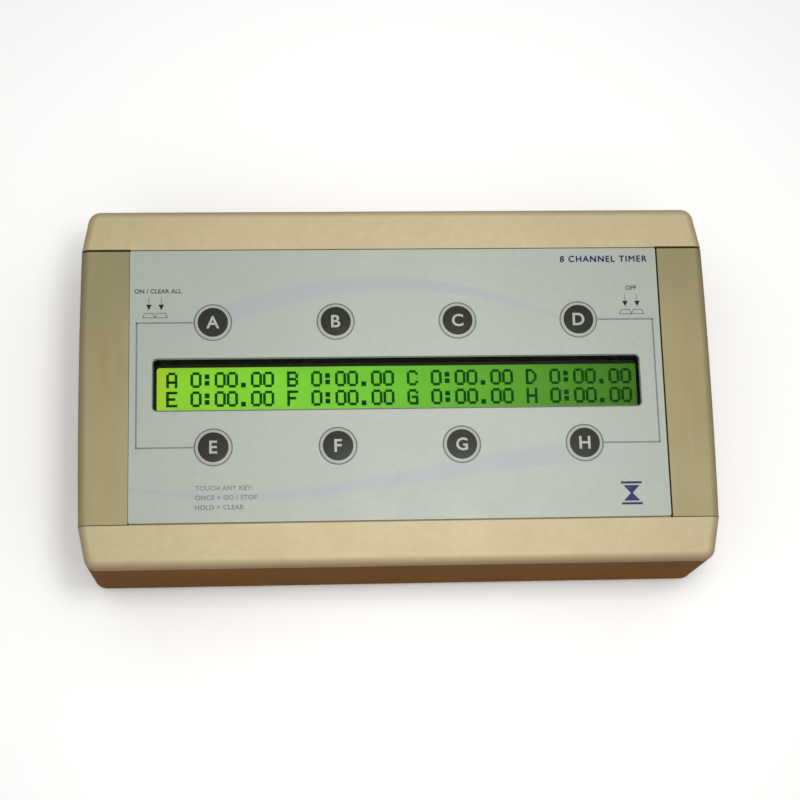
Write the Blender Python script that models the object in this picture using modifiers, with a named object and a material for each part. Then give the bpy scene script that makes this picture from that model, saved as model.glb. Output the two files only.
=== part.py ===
"""Eight-channel laboratory timer: a flat desk case with a two-line display and eight round keys.

The model stands on its four feet with its base centre at the origin, +X along the case, +Y to the
rear and +Z up. Dimensions are in millimetres, and the shape helpers turn them into metres.
"""

import math

import bmesh
import bpy

MM = 0.001

# ---------------------------------------------------------------- driving dimensions, millimetres

CASE_HALF_WIDTH = 97.7          # at the middle of each side
CASE_HALF_DEPTH = 56.4
SIDE_BOW = 0.45                 # how far the sides curve in towards the bands
SIDE_HALF_LENGTH = 43.3         # the straight stretch of each side, between the two bands
BAND_TAPER = math.radians(11)   # the sides draw in along the front and rear bands
CORNER_RADIUS = 4.0
TOP_EDGE_RADIUS = 2.6
BASE_EDGE_RADIUS = 2.8

PANEL_Z = 41.5                  # top face of the case, above the surface that it stands on
BASE_Z = 1.5                    # underside of the lower shell: the feet hold it this high
SEAM_Z = 38.3                   # joint line: a shallow lid on a deep base
WALL = 2.3
FLOOR = 2.2
GAP = 0.3                       # clearance between neighbouring pieces

SPIGOT_DEPTH = 3.5              # rim of the lid inside the walls of the base
SPIGOT_WALL = 1.4

FOIL_HALF_WIDTH = 82.1
FOIL_HALF_DEPTH = 43.0
FOIL_THICKNESS = 0.5
PANEL_FLOOR = 2.5               # shell thickness under the foil

STRIP_INNER_X = 82.4
STRIP_THICKNESS = 2.9
STRIP_FRONT_GAP = 0.3           # the strips sit against the front band, and the joint behind them is wider
STRIP_REAR_GAP = 0.5
STRIP_CLIP_X = 89.0
STRIP_CLIP_Y = 26.0
CHANNEL_FLOOR = 2.5             # shell thickness under a cover strip

KEY_PITCH_X = 37.8
KEY_ROW_Y = 19.7
KEY_RADIUS = 5.65
KEY_HOLE_RADIUS = 5.95
KEY_RISE = 0.5                  # crown of the key above the foil
KEY_FLANGE_RADIUS = 7.0
KEY_STEM_RADIUS = 1.5
KEY_NAMES = ("a", "b", "c", "d", "e", "f", "g", "h")

WINDOW_HALF_WIDTH = 74.9        # opening of the foil over the display
WINDOW_HALF_DEPTH = 8.05
SURROUND_BORDER = 2.3
DISPLAY_X = 3.0                 # centre of the display module, measured from the key grid
DISPLAY_Y = 0.1
BEZEL_VIEW_HALF_WIDTH = 77.2
BEZEL_VIEW_HALF_DEPTH = 7.0
LCD_TOP_Z = PANEL_Z - 7.0       # face of the glass that carries the characters

SWITCH_SIZE = 6.0
SWITCH_HEIGHT = 3.5
KEY_BOARD_Z = PANEL_Z - 12.6    # underside of the two key boards
BOARD_THICKNESS = 1.6

CASE_SCREW_X = 90.0
CASE_SCREW_Y = 36.0
POST_MEET_Z = 21.5              # where the posts of the two shells meet

CELL_RADIUS = 7.1
CELL_PITCH = 14.9
CELL_Z = 12.3
BAY_HALF_WIDTH = 30.5
BAY_FRONT_Y = 0.8
BAY_REAR_Y = 53.0
BAY_TOP_Z = 19.9
BAY_WALL = 2.8

FOOT_RADIUS = 5.0
FOOT_X = 82.0
FOOT_Y = 44.0

# ---------------------------------------------------------------- scene and collections


def clear_scene():
    for item in list(bpy.data.objects):
        bpy.data.objects.remove(item)


def new_collection(name):
    collection = bpy.data.collections.new(name)
    bpy.context.scene.collection.children.link(collection)
    return collection


clear_scene()
TIMER = new_collection("lab_timer")
TOOLS = new_collection("cutters_and_guides")


def principled(name, colour, roughness, metallic=0.0, alpha=1.0):
    material = bpy.data.materials.new(name)
    material.use_nodes = True
    shader = material.node_tree.nodes["Principled BSDF"]
    shader.inputs["Base Color"].default_value = (*colour, 1.0)
    shader.inputs["Roughness"].default_value = roughness
    shader.inputs["Metallic"].default_value = metallic
    shader.inputs["Alpha"].default_value = alpha
    return material


CREAM_PLASTIC = principled("cream_plastic", (0.62, 0.55, 0.38), 0.45)
BROWN_PLASTIC = principled("brown_plastic", (0.10, 0.045, 0.015), 0.5)
OLIVE_PLASTIC = principled("olive_plastic", (0.33, 0.30, 0.16), 0.5)
PRINTED_FOIL = principled("printed_foil", (0.46, 0.49, 0.48), 0.4)
CLEAR_SHEET = principled("clear_sheet", (0.9, 0.93, 0.92), 0.05, alpha=0.3)
BLACK_PLASTIC = principled("black_plastic", (0.02, 0.02, 0.02), 0.5)
BLACK_STEEL = principled("black_steel", (0.03, 0.03, 0.03), 0.4, metallic=0.6)
LIQUID_CRYSTAL = principled("liquid_crystal", (0.22, 0.55, 0.05), 0.2)
LIGHT_GUIDE = principled("light_guide", (0.7, 0.8, 0.6), 0.3)
CIRCUIT_BOARD = principled("circuit_board", (0.03, 0.16, 0.07), 0.4)
STEEL = principled("steel", (0.55, 0.55, 0.56), 0.3, metallic=1.0)
GREY_KEY = principled("grey_key", (0.4, 0.42, 0.4), 0.35)
RIBBON_GREY = principled("ribbon_grey", (0.3, 0.3, 0.32), 0.5)
RUBBER = principled("rubber", (0.02, 0.02, 0.02), 0.8)
CELL_JACKET = principled("cell_jacket", (0.05, 0.12, 0.3), 0.3)

# ---------------------------------------------------------------- shape helpers


def add_object(name, mesh, location=(0, 0, 0), tool=False):
    """Link a mesh under a name. A tool is a cutter or guide, which the finished timer doesn't show."""
    item = bpy.data.objects.new(name, mesh)
    item.location = [value * MM for value in location]
    (TOOLS if tool else TIMER).objects.link(item)
    if tool:
        item.hide_render = True
        item.display_type = "WIRE"
    return item


def mesh_from(name, shape):
    mesh = bpy.data.meshes.new(name)
    shape.to_mesh(mesh)
    shape.free()
    return mesh


def round_edges(shape, edges, radius, segments):
    bmesh.ops.bevel(shape, geom=edges, offset=radius * MM, segments=segments, profile=0.5,
                    affect="EDGES", clamp_overlap=True)


def level_edges(shape, top):
    """The edges that lie wholly in the top or the bottom face of a shape."""
    heights = [vertex.co.z for vertex in shape.verts]
    level = max(heights) if top else min(heights)
    return [edge for edge in shape.edges if all(abs(v.co.z - level) < 1e-6 for v in edge.verts)]


def block(name, low, high, corner=0.0, rim=0.0, corner_segments=3, tool=False):
    """A box between two corners, with its upright edges and its top rim rounded if asked."""
    shape = bmesh.new()
    bmesh.ops.create_cube(shape, size=1.0)
    bmesh.ops.scale(shape, vec=[(b - a) * MM for a, b in zip(low, high)], verts=shape.verts)
    if corner:
        upright = [e for e in shape.edges if abs(e.verts[0].co.z - e.verts[1].co.z) > 1e-6]
        round_edges(shape, upright, corner, corner_segments)
    if rim:
        round_edges(shape, level_edges(shape, True), rim, 2)
    centre = [(a + b) / 2 for a, b in zip(low, high)]
    return add_object(name, mesh_from(name, shape), centre, tool)


def drums(name, places, radius, low_z, high_z, segments=10):
    """Upright cylinders at several places, as one tool."""
    shape = bmesh.new()
    for x, y in places:
        made = bmesh.ops.create_cone(shape, cap_ends=True, segments=segments, radius1=radius * MM,
                                     radius2=radius * MM, depth=(high_z - low_z) * MM)
        middle = (x * MM, y * MM, (low_z + high_z) / 2 * MM)
        bmesh.ops.translate(shape, vec=middle, verts=made["verts"])
    return add_object(name, mesh_from(name, shape), tool=True)


def blocks(name, boxes):
    """Several boxes, given by their low and high corners, as one tool."""
    shape = bmesh.new()
    for low, high in boxes:
        made = bmesh.ops.create_cube(shape, size=1.0)
        bmesh.ops.scale(shape, vec=[(b - a) * MM for a, b in zip(low, high)], verts=made["verts"])
        middle = [(a + b) / 2 * MM for a, b in zip(low, high)]
        bmesh.ops.translate(shape, vec=middle, verts=made["verts"])
    return add_object(name, mesh_from(name, shape), tool=True)


def turned(name, profile, steps):
    """A solid of revolution about +Z, from a profile that runs down its outer side."""
    mesh = bpy.data.meshes.new(name)
    points = [(radius * MM, 0.0, height * MM) for radius, height in profile]
    mesh.from_pydata(points, [(i, i + 1) for i in range(len(points) - 1)], [])
    item = add_object(name, mesh)
    screw = item.modifiers.new("turn", "SCREW")
    screw.steps = steps
    screw.render_steps = steps
    screw.use_merge_vertices = True
    screw.merge_threshold = 0.00001
    return item


def outline_prism(name, outline, low_z, high_z, top_radius=0.0, base_radius=0.0, tool=True):
    """A flat outline raised between two heights, with its rims rounded if asked."""
    curve = bpy.data.curves.new(name, "CURVE")
    curve.dimensions = "2D"
    curve.fill_mode = "BOTH"
    curve.extrude = (high_z - low_z) / 2 * MM
    spline = curve.splines.new("POLY")
    spline.points.add(len(outline) - 1)
    for point, (x, y) in zip(spline.points, outline):
        point.co = (x * MM, y * MM, 0.0, 1.0)
    spline.use_cyclic_u = True
    drawn = add_object(name + "_outline", curve, tool=True)
    shape = bmesh.new()
    shape.from_mesh(evaluated_mesh(drawn))
    bmesh.ops.remove_doubles(shape, verts=shape.verts, dist=0.00001)
    bmesh.ops.dissolve_limit(shape, angle_limit=0.001, verts=shape.verts, edges=shape.edges)
    bmesh.ops.recalc_face_normals(shape, faces=shape.faces)
    if top_radius:
        round_edges(shape, level_edges(shape, True), top_radius, 4)
    if base_radius:
        round_edges(shape, level_edges(shape, False), base_radius, 3)
    bpy.data.objects.remove(drawn)
    return add_object(name, mesh_from(name, shape), (0, 0, (low_z + high_z) / 2), tool)


def evaluated_mesh(item):
    bpy.context.view_layer.update()
    graph = bpy.context.evaluated_depsgraph_get()
    return bpy.data.meshes.new_from_object(item.evaluated_get(graph))


def shape_by(target, operation, *tools):
    """Cut, join or intersect a piece with each tool in turn."""
    for tool in tools:
        change = target.modifiers.new(tool.name, "BOOLEAN")
        change.operation = operation
        change.solver = "EXACT"
        change.object = tool


def finish(item, material, smooth=False):
    """Give a piece its material, and smooth shading between its sharp edges if it is round."""
    item.data.materials.clear()
    item.data.materials.append(material)
    if smooth:
        item.data.shade_smooth()
        item.data.set_sharp_from_angle(angle=math.radians(35))
    return item


def copies(pattern, material, named_places, smooth=True):
    """Replace a finished pattern piece by copies that share its mesh, at the named places."""
    mesh = evaluated_mesh(pattern)
    mesh.name = pattern.name
    bpy.data.objects.remove(pattern)
    for name, place in named_places:
        finish(add_object(name, mesh, place), material, smooth)


# ---------------------------------------------------------------- outline of the case


def corner_arc(before, corner, after, radius, steps=4):
    """The points of a rounded corner between two straight sides of an outline."""
    back = math.atan2(before[1] - corner[1], before[0] - corner[0])
    ahead = math.atan2(after[1] - corner[1], after[0] - corner[0])
    turn = (ahead - back + math.pi) % math.tau - math.pi
    reach = radius / math.sin(abs(turn) / 2)
    middle = back + turn / 2
    centre = (corner[0] + reach * math.cos(middle), corner[1] + reach * math.sin(middle))
    start = back - math.copysign(math.pi / 2, turn)
    sweep = math.copysign(math.pi - abs(turn), -turn)
    return [(centre[0] + radius * math.cos(start + sweep * i / steps),
             centre[1] + radius * math.sin(start + sweep * i / steps)) for i in range(steps + 1)]


def case_outline(inset=0.0):
    """Plan of the case, counter-clockwise from the right side: bowed sides and drawn-in bands."""
    side_x = CASE_HALF_WIDTH - SIDE_BOW - inset
    rear_y = CASE_HALF_DEPTH - inset
    shoulder = (side_x, SIDE_HALF_LENGTH)
    tip = (side_x - (rear_y - SIDE_HALF_LENGTH) * math.tan(BAND_TAPER), rear_y)
    corner = corner_arc(shoulder, tip, (0, rear_y), max(CORNER_RADIUS - inset, 1.0))
    bow = []
    for share in (0.0, 0.5):
        bow.append((side_x + SIDE_BOW * (1 - share ** 2), SIDE_HALF_LENGTH * share))
    quarter = bow + [shoulder] + corner
    right = [(x, -y) for x, y in reversed(quarter[1:])] + quarter
    return right + [(-x, -y) for x, y in right]


# ---------------------------------------------------------------- places that several pieces share

CASE_SCREWS = [(sx * CASE_SCREW_X, sy * CASE_SCREW_Y) for sy in (-1, 1) for sx in (-1, 1)]
FEET = [(sx * FOOT_X, sy * FOOT_Y) for sy in (-1, 1) for sx in (-1, 1)]
LCD_SCREWS = [(DISPLAY_X + sx * 87.5, DISPLAY_Y + sy * 13.5) for sy in (-1, 1) for sx in (-1, 1)]
KEY_BOARD_SCREWS = [(sx * KEY_PITCH_X, sy * 23.5) for sy in (-1, 1) for sx in (-1, 1)]
MAIN_BOARD_SCREWS = [(-50.0, -44.0), (50.0, -12.0)]
MAIN_BOARD_PEGS = [(50.0, -44.0), (-50.0, -12.0)]
KEYS = [((column - 1.5) * KEY_PITCH_X, row * KEY_ROW_Y) for row in (1, -1) for column in range(4)]

CHANNEL_Z = PANEL_Z - STRIP_THICKNESS - GAP
PANEL_UNDER_Z = PANEL_Z - FOIL_THICKNESS - GAP - PANEL_FLOOR
LCD_BOARD_TOP_Z = LCD_TOP_Z - 7.6
KEY_BOARD_TOP_Z = KEY_BOARD_Z + BOARD_THICKNESS
MAIN_BOARD_Z = 9.0

# ---------------------------------------------------------------- the two shells


def upper_shell():
    """The lid: both bands, the floor under the foil and strips, and a rim that enters the base."""
    shell = outline_prism("upper_shell", case_outline(), SEAM_Z + GAP / 2, PANEL_Z,
                          top_radius=TOP_EDGE_RADIUS, tool=False)
    spigot = outline_prism("spigot", case_outline(WALL + GAP), SEAM_Z - SPIGOT_DEPTH, SEAM_Z + 1)
    cavity = outline_prism("upper_cavity", case_outline(WALL + GAP + SPIGOT_WALL), SEAM_Z - 10,
                           CHANNEL_Z - CHANNEL_FLOOR)
    cavity_middle = block("upper_cavity_middle", (-80.4, -52.0, 30.0), (80.4, 52.0, PANEL_UNDER_Z),
                          tool=True)
    recess_half_width = FOIL_HALF_WIDTH + GAP
    foil_recess = block("foil_recess", (-recess_half_width, -SIDE_HALF_LENGTH, PANEL_UNDER_Z + PANEL_FLOOR),
                        (recess_half_width, SIDE_HALF_LENGTH, PANEL_Z + 5), tool=True)
    channels = blocks("strip_channels", [
        ((STRIP_INNER_X - 0.35, -SIDE_HALF_LENGTH, CHANNEL_Z), (105.0, SIDE_HALF_LENGTH, PANEL_Z + 5)),
        ((-105.0, -SIDE_HALF_LENGTH, CHANNEL_Z), (0.35 - STRIP_INNER_X, SIDE_HALF_LENGTH, PANEL_Z + 5))])
    window = block("window_cut", (-WINDOW_HALF_WIDTH - SURROUND_BORDER - GAP, -10.65, 30.0),
                   (WINDOW_HALF_WIDTH + SURROUND_BORDER + GAP, 10.65, PANEL_Z + 5), corner=1.5, tool=True)
    key_holes = drums("key_holes", KEYS, KEY_HOLE_RADIUS + 0.2, 30.0, PANEL_Z + 5, segments=20)
    shape_by(shell, "UNION", spigot)
    shape_by(shell, "DIFFERENCE", cavity, cavity_middle)

    case_posts = drums("upper_case_posts", CASE_SCREWS, 4.2, POST_MEET_Z + GAP, CHANNEL_Z - 1)
    lcd_posts = drums("lcd_posts", LCD_SCREWS, 2.6, LCD_BOARD_TOP_Z + GAP, PANEL_UNDER_Z + 1, segments=8)
    key_board_posts = drums("key_board_posts", KEY_BOARD_SCREWS, 2.6, KEY_BOARD_TOP_Z + GAP,
                            PANEL_UNDER_Z + 1, segments=8)
    shape_by(shell, "UNION", case_posts, lcd_posts, key_board_posts)

    case_bores = drums("upper_case_bores", CASE_SCREWS, 1.9, 10.0, CHANNEL_Z + 5)
    head_bores = drums("head_bores", CASE_SCREWS, 3.2, CHANNEL_Z - 2.7, CHANNEL_Z + 5)
    small_bores = drums("small_bores", LCD_SCREWS + KEY_BOARD_SCREWS, 1.4, 20.0, PANEL_UNDER_Z - 1.5,
                        segments=8)
    clip_slots = blocks("clip_slots", [
        ((x - 1.3, y - 4.6, 30.0), (x + 1.3, y + 4.6, PANEL_Z))
        for x in (-STRIP_CLIP_X, STRIP_CLIP_X) for y in (-STRIP_CLIP_Y, STRIP_CLIP_Y)])
    shape_by(shell, "DIFFERENCE", foil_recess, channels, window, key_holes, case_bores, head_bores,
             small_bores, clip_slots)
    finish(shell, CREAM_PLASTIC)


def door_section(name, gap):
    """Cross-section of the battery door with its runners, carried out through the rear wall."""
    front = BAY_FRONT_Y + 0.4 - gap
    plate = blocks(name, [((-29.7 - gap, front, BASE_Z - 5), (29.7 + gap, CASE_HALF_DEPTH + 5, 3.9))])
    runners = blocks(name + "_runners", [
        ((-31.7 - gap, front - 0.01, 3.5 - gap), (31.7 + gap, CASE_HALF_DEPTH + 6, 4.6 + gap))])
    shape_by(plate, "UNION", runners)
    return plate


def lower_shell():
    """The deep base: floor, four walls, battery bay and the posts that take the screws."""
    shell = outline_prism("lower_shell", case_outline(), BASE_Z, SEAM_Z - GAP / 2,
                          base_radius=BASE_EDGE_RADIUS, tool=False)
    cavity = outline_prism("lower_cavity", case_outline(WALL), BASE_Z + FLOOR, SEAM_Z + 10)
    shape_by(shell, "DIFFERENCE", cavity)

    bay = blocks("bay_walls", [((-BAY_HALF_WIDTH - BAY_WALL, BAY_FRONT_Y - BAY_WALL, BASE_Z + 1),
                                (BAY_HALF_WIDTH + BAY_WALL, CASE_HALF_DEPTH - 1.2, BAY_TOP_Z + 1.3))])
    case_posts = drums("lower_case_posts", CASE_SCREWS, 4.2, BASE_Z + 1, POST_MEET_Z)
    board_posts = drums("board_posts", MAIN_BOARD_SCREWS + MAIN_BOARD_PEGS, 3.0, BASE_Z + 1,
                        MAIN_BOARD_Z - GAP, segments=8)
    pegs = drums("pegs", MAIN_BOARD_PEGS, 1.1, BASE_Z + 3, MAIN_BOARD_Z + 3, segments=8)
    shape_by(shell, "UNION", bay, case_posts, board_posts, pegs)

    bay_room = blocks("bay_room", [((-BAY_HALF_WIDTH, BAY_FRONT_Y, 4.0),
                                    (BAY_HALF_WIDTH, BAY_REAR_Y, BAY_TOP_Z))])
    slot = door_section("door_slot", GAP)
    case_bores = drums("lower_case_bores", CASE_SCREWS, 1.9, 6.0, POST_MEET_Z + 5)
    board_bores = drums("board_bores", MAIN_BOARD_SCREWS, 1.4, 4.5, MAIN_BOARD_Z + 3, segments=8)
    foot_recesses = drums("foot_recesses", FEET, FOOT_RADIUS + GAP, BASE_Z - 2, BASE_Z + 1.1, segments=20)
    shape_by(shell, "DIFFERENCE", bay_room, slot, case_bores, board_bores, foot_recesses)
    finish(shell, BROWN_PLASTIC)


def battery_door():
    door = outline_prism("battery_door", case_outline(), BASE_Z, SEAM_Z, base_radius=BASE_EDGE_RADIUS,
                         tool=False)
    shape_by(door, "INTERSECT", door_section("door_shape", 0.0))
    grips = blocks("door_grips", [((-9.0, y, BASE_Z - 1), (9.0, y + 1.4, BASE_Z + 0.6))
                                  for y in (44.0, 47.0, 50.0)])
    shape_by(door, "DIFFERENCE", grips)
    finish(door, BROWN_PLASTIC)


def cover_strips():
    for side, name in ((-1, "cover_strip_left"), (1, "cover_strip_right")):
        strip = outline_prism(name, case_outline(), SEAM_Z - 5, PANEL_Z, top_radius=TOP_EDGE_RADIUS,
                              tool=False)
        ends = sorted((side * STRIP_INNER_X, side * 105.0))
        trim = block(name + "_trim", (ends[0], STRIP_FRONT_GAP - SIDE_HALF_LENGTH, PANEL_Z - STRIP_THICKNESS),
                     (ends[1], SIDE_HALF_LENGTH - STRIP_REAR_GAP, PANEL_Z + 5), tool=True)
        clips = blocks(name + "_clips", [
            ((side * STRIP_CLIP_X - 0.9, y - 4.2, CHANNEL_Z - 3.2),
             (side * STRIP_CLIP_X + 0.9, y + 4.2, PANEL_Z - 1)) for y in (-STRIP_CLIP_Y, STRIP_CLIP_Y)])
        shape_by(strip, "INTERSECT", trim)
        shape_by(strip, "UNION", clips)
        finish(strip, OLIVE_PLASTIC)


# ---------------------------------------------------------------- front foil, window and keys


def front_foil():
    foil = block("front_foil", (-FOIL_HALF_WIDTH, -FOIL_HALF_DEPTH, PANEL_Z - FOIL_THICKNESS),
                 (FOIL_HALF_WIDTH, FOIL_HALF_DEPTH, PANEL_Z), corner=0.6, corner_segments=2)
    opening = block("foil_opening", (-WINDOW_HALF_WIDTH, -WINDOW_HALF_DEPTH, 30.0),
                    (WINDOW_HALF_WIDTH, WINDOW_HALF_DEPTH, PANEL_Z + 5), corner=1.2, tool=True)
    holes = drums("foil_holes", KEYS, KEY_HOLE_RADIUS, 30.0, PANEL_Z + 5, segments=24)
    shape_by(foil, "DIFFERENCE", opening, holes)
    finish(foil, PRINTED_FOIL)


def display_window():
    half_width = WINDOW_HALF_WIDTH + SURROUND_BORDER
    half_depth = WINDOW_HALF_DEPTH + SURROUND_BORDER
    top = PANEL_Z - FOIL_THICKNESS - GAP
    pane = block("display_window", (-half_width, -half_depth, top - 1.2), (half_width, half_depth, top),
                 corner=1.5)
    finish(pane, CLEAR_SHEET)

    surround = block("display_surround", (-half_width, -half_depth, LCD_TOP_Z + 1.1),
                     (half_width, half_depth, top - 1.2 - GAP), corner=1.5)
    opening = block("surround_opening", (-WINDOW_HALF_WIDTH, -WINDOW_HALF_DEPTH, 25.0),
                    (WINDOW_HALF_WIDTH, WINDOW_HALF_DEPTH, PANEL_Z + 5), corner=1.2, tool=True)
    shape_by(surround, "DIFFERENCE", opening)
    finish(surround, BLACK_PLASTIC)


def keys():
    flange_top = PANEL_UNDER_Z - PANEL_Z - 0.4
    profile = [(0.0, KEY_RISE), (3.0, KEY_RISE - 0.04), (5.1, KEY_RISE - 0.18),
               (KEY_RADIUS, KEY_RISE - 0.7), (KEY_RADIUS, flange_top), (KEY_FLANGE_RADIUS, flange_top),
               (KEY_FLANGE_RADIUS, flange_top - 1.0), (KEY_STEM_RADIUS, flange_top - 1.0),
               (KEY_STEM_RADIUS, flange_top - 4.7), (0.0, flange_top - 4.7)]
    pattern = turned("key", profile, 20)
    places = [("key_" + letter, (x, y, PANEL_Z)) for letter, (x, y) in zip(KEY_NAMES, KEYS)]
    copies(pattern, GREY_KEY, places)


def switches():
    half = SWITCH_SIZE / 2
    pattern = block("switch", (-half, -half, 0.0), (half, half, SWITCH_HEIGHT), corner=0.5, corner_segments=1)
    well = drums("switch_well", [(0, 0)], KEY_STEM_RADIUS + 0.4, SWITCH_HEIGHT - 2.4, SWITCH_HEIGHT + 3)
    shape_by(pattern, "DIFFERENCE", well)
    middle_z = KEY_BOARD_TOP_Z + GAP + SWITCH_HEIGHT / 2
    places = [("switch_" + letter, (x, y, middle_z)) for letter, (x, y) in zip(KEY_NAMES, KEYS)]
    copies(pattern, BLACK_PLASTIC, places, smooth=False)


def key_boards():
    bores = drums("key_board_bores", KEY_BOARD_SCREWS, 1.4, 20.0, 40.0, segments=8)
    for side, name in ((1, "key_board_rear"), (-1, "key_board_front")):
        rows = sorted((side * 15.3, side * 27.3))
        board = block(name, (-66.0, rows[0], KEY_BOARD_Z), (66.0, rows[1], KEY_BOARD_TOP_Z), corner=1.5,
                      corner_segments=2)
        shape_by(board, "DIFFERENCE", bores)
        finish(board, CIRCUIT_BOARD)


# ---------------------------------------------------------------- display module


def centred_on_display(half_x, half_y, z):
    return (DISPLAY_X - half_x, DISPLAY_Y - half_y, z[0]), (DISPLAY_X + half_x, DISPLAY_Y + half_y, z[1])


def display_module():
    bezel_top = LCD_TOP_Z + 0.8
    bezel = block("lcd_bezel", *centred_on_display(84.0, 14.0, (LCD_BOARD_TOP_Z + GAP, bezel_top)),
                  corner=1.0, corner_segments=2)
    inside = block("bezel_inside", *centred_on_display(83.4, 13.4, (10.0, bezel_top - 0.5)), tool=True)
    view = block("bezel_view", *centred_on_display(BEZEL_VIEW_HALF_WIDTH, BEZEL_VIEW_HALF_DEPTH,
                                                   (10.0, PANEL_Z)), corner=0.8, corner_segments=2, tool=True)
    shape_by(bezel, "DIFFERENCE", inside, view)
    finish(bezel, BLACK_STEEL)

    glass = block("lcd_glass", *centred_on_display(80.5, 12.0, (LCD_TOP_Z - 2.2, LCD_TOP_Z)))
    finish(glass, LIQUID_CRYSTAL)
    guide = block("lcd_backlight", *centred_on_display(82.0, 12.6, (LCD_TOP_Z - 6.0, LCD_TOP_Z - 2.5)))
    finish(guide, LIGHT_GUIDE)

    board_heights = (LCD_BOARD_TOP_Z - BOARD_THICKNESS, LCD_BOARD_TOP_Z)
    board = block("lcd_board", *centred_on_display(91.0, 16.75, board_heights), corner=1.0, corner_segments=2)
    bores = drums("lcd_board_bores", LCD_SCREWS, 1.4, 20.0, 40.0, segments=8)
    shape_by(board, "DIFFERENCE", bores)
    finish(board, CIRCUIT_BOARD)


# ---------------------------------------------------------------- main board and what is on it


def main_board():
    board = block("main_board", (-55.0, -49.0, MAIN_BOARD_Z), (55.0, -7.0, MAIN_BOARD_Z + BOARD_THICKNESS),
                  corner=1.5, corner_segments=2)
    bores = drums("main_board_bores", MAIN_BOARD_SCREWS + MAIN_BOARD_PEGS, 1.4, 5.0, 20.0, segments=8)
    shape_by(board, "DIFFERENCE", bores)
    finish(board, CIRCUIT_BOARD)

    top = MAIN_BOARD_Z + BOARD_THICKNESS + GAP
    chip = block("microcontroller", (-18.0, -33.0, top), (17.5, -25.6, top + 3.6), rim=0.4)
    mark = drums("chip_mark", [(-18.0, -29.3)], 1.2, top + 2.4, top + 6, segments=8)
    shape_by(chip, "DIFFERENCE", mark)
    finish(chip, BLACK_PLASTIC)
    crystal = block("crystal", (22.0, -31.5, top), (33.0, -27.0, top + 3.5), corner=2.2, rim=0.4)
    finish(crystal, STEEL, smooth=True)

    profile = [(0.0, 6.5), (0.9, 6.5), (0.9, 6.9), (5.2, 6.9), (6.0, 6.3), (6.0, 0.0), (0.0, 0.0)]
    sound = turned("buzzer", profile, 16)
    copies(sound, BLACK_PLASTIC, [("buzzer", (38.0, -41.0, top))])


def ribbon_cable():
    """Sixteen wires in a flat ribbon, in one S-curve from the main board up to the display board."""
    start = (-30.0, MAIN_BOARD_Z + BOARD_THICKNESS + GAP)
    end = (-7.0, LCD_BOARD_TOP_Z - BOARD_THICKNESS - GAP)
    steps = 10
    spine = []
    for step in range(steps + 1):
        share = step / steps
        swing = share - math.sin(math.tau * share) / math.tau
        spine.append((start[0] + (end[0] - start[0]) * swing, start[1] + (end[1] - start[1]) * share))
    half_thickness = 0.45
    outline = [(y - half_thickness, z) for y, z in spine]
    outline += [(y + half_thickness, z) for y, z in reversed(spine)]
    ribbon = outline_prism("ribbon_cable", outline, -10.2, 10.2, tool=False)
    ribbon.rotation_euler = (math.radians(90), 0.0, math.radians(90))
    ribbon.location = (-36.0 * MM, 0.0, 0.0)
    finish(ribbon, RIBBON_GREY)


# ---------------------------------------------------------------- cells, feet and fasteners


def cells_and_contacts():
    radius = CELL_RADIUS
    profile = [(0.0, 25.1), (2.7, 25.1), (2.7, 24.0), (radius - 0.7, 24.0), (radius, 23.4), (radius, -24.5),
               (radius - 0.6, -25.1), (0.0, -25.1)]
    middle_y = (BAY_FRONT_Y + BAY_REAR_Y) / 2
    for number in range(4):
        cell = turned("cell_pattern", profile, 16)
        mesh = evaluated_mesh(cell)
        bpy.data.objects.remove(cell)
        placed = add_object("cell_%d" % (number + 1), mesh, ((number - 1.5) * CELL_PITCH, middle_y, CELL_Z))
        placed.rotation_euler.x = math.radians(-90 if number % 2 else 90)
        finish(placed, CELL_JACKET, smooth=True)
    for name, y in (("contact_front", BAY_FRONT_Y + 0.3), ("contact_rear", BAY_REAR_Y - 0.6)):
        strip = block(name, (-28.5, y, 7.0), (28.5, y + 0.3, 17.5))
        finish(strip, STEEL)


def feet():
    profile = [(0.0, 2.3), (FOOT_RADIUS, 2.3), (FOOT_RADIUS, 0.6), (FOOT_RADIUS - 0.5, 0.0), (0.0, 0.0)]
    pattern = turned("foot", profile, 20)
    places = [("foot_%d" % (number + 1), (x, y, 0.0)) for number, (x, y) in enumerate(FEET)]
    copies(pattern, RUBBER, places)


def screw_pattern(name, head_radius, head_height, shank_radius, length):
    """A pan-head screw, head up, with its seat at z = 0 and a cross recess in its head."""
    profile = [(0.0, head_height), (head_radius * 0.7, head_height), (head_radius, head_height * 0.55),
               (head_radius, 0.0), (shank_radius, 0.0), (shank_radius, 0.5 - length), (0.0, -length)]
    pattern = turned(name, profile, 10)
    reach = head_radius * 0.55
    depth = head_height * 0.5
    cross = blocks(name + "_cross_x", [((-reach, -0.3, depth), (reach, 0.3, head_height + 2))])
    cross_y = blocks(name + "_cross_y", [((-0.3, -reach, depth), (0.3, reach, head_height + 2))])
    shape_by(pattern, "DIFFERENCE", cross, cross_y)
    return pattern


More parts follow.
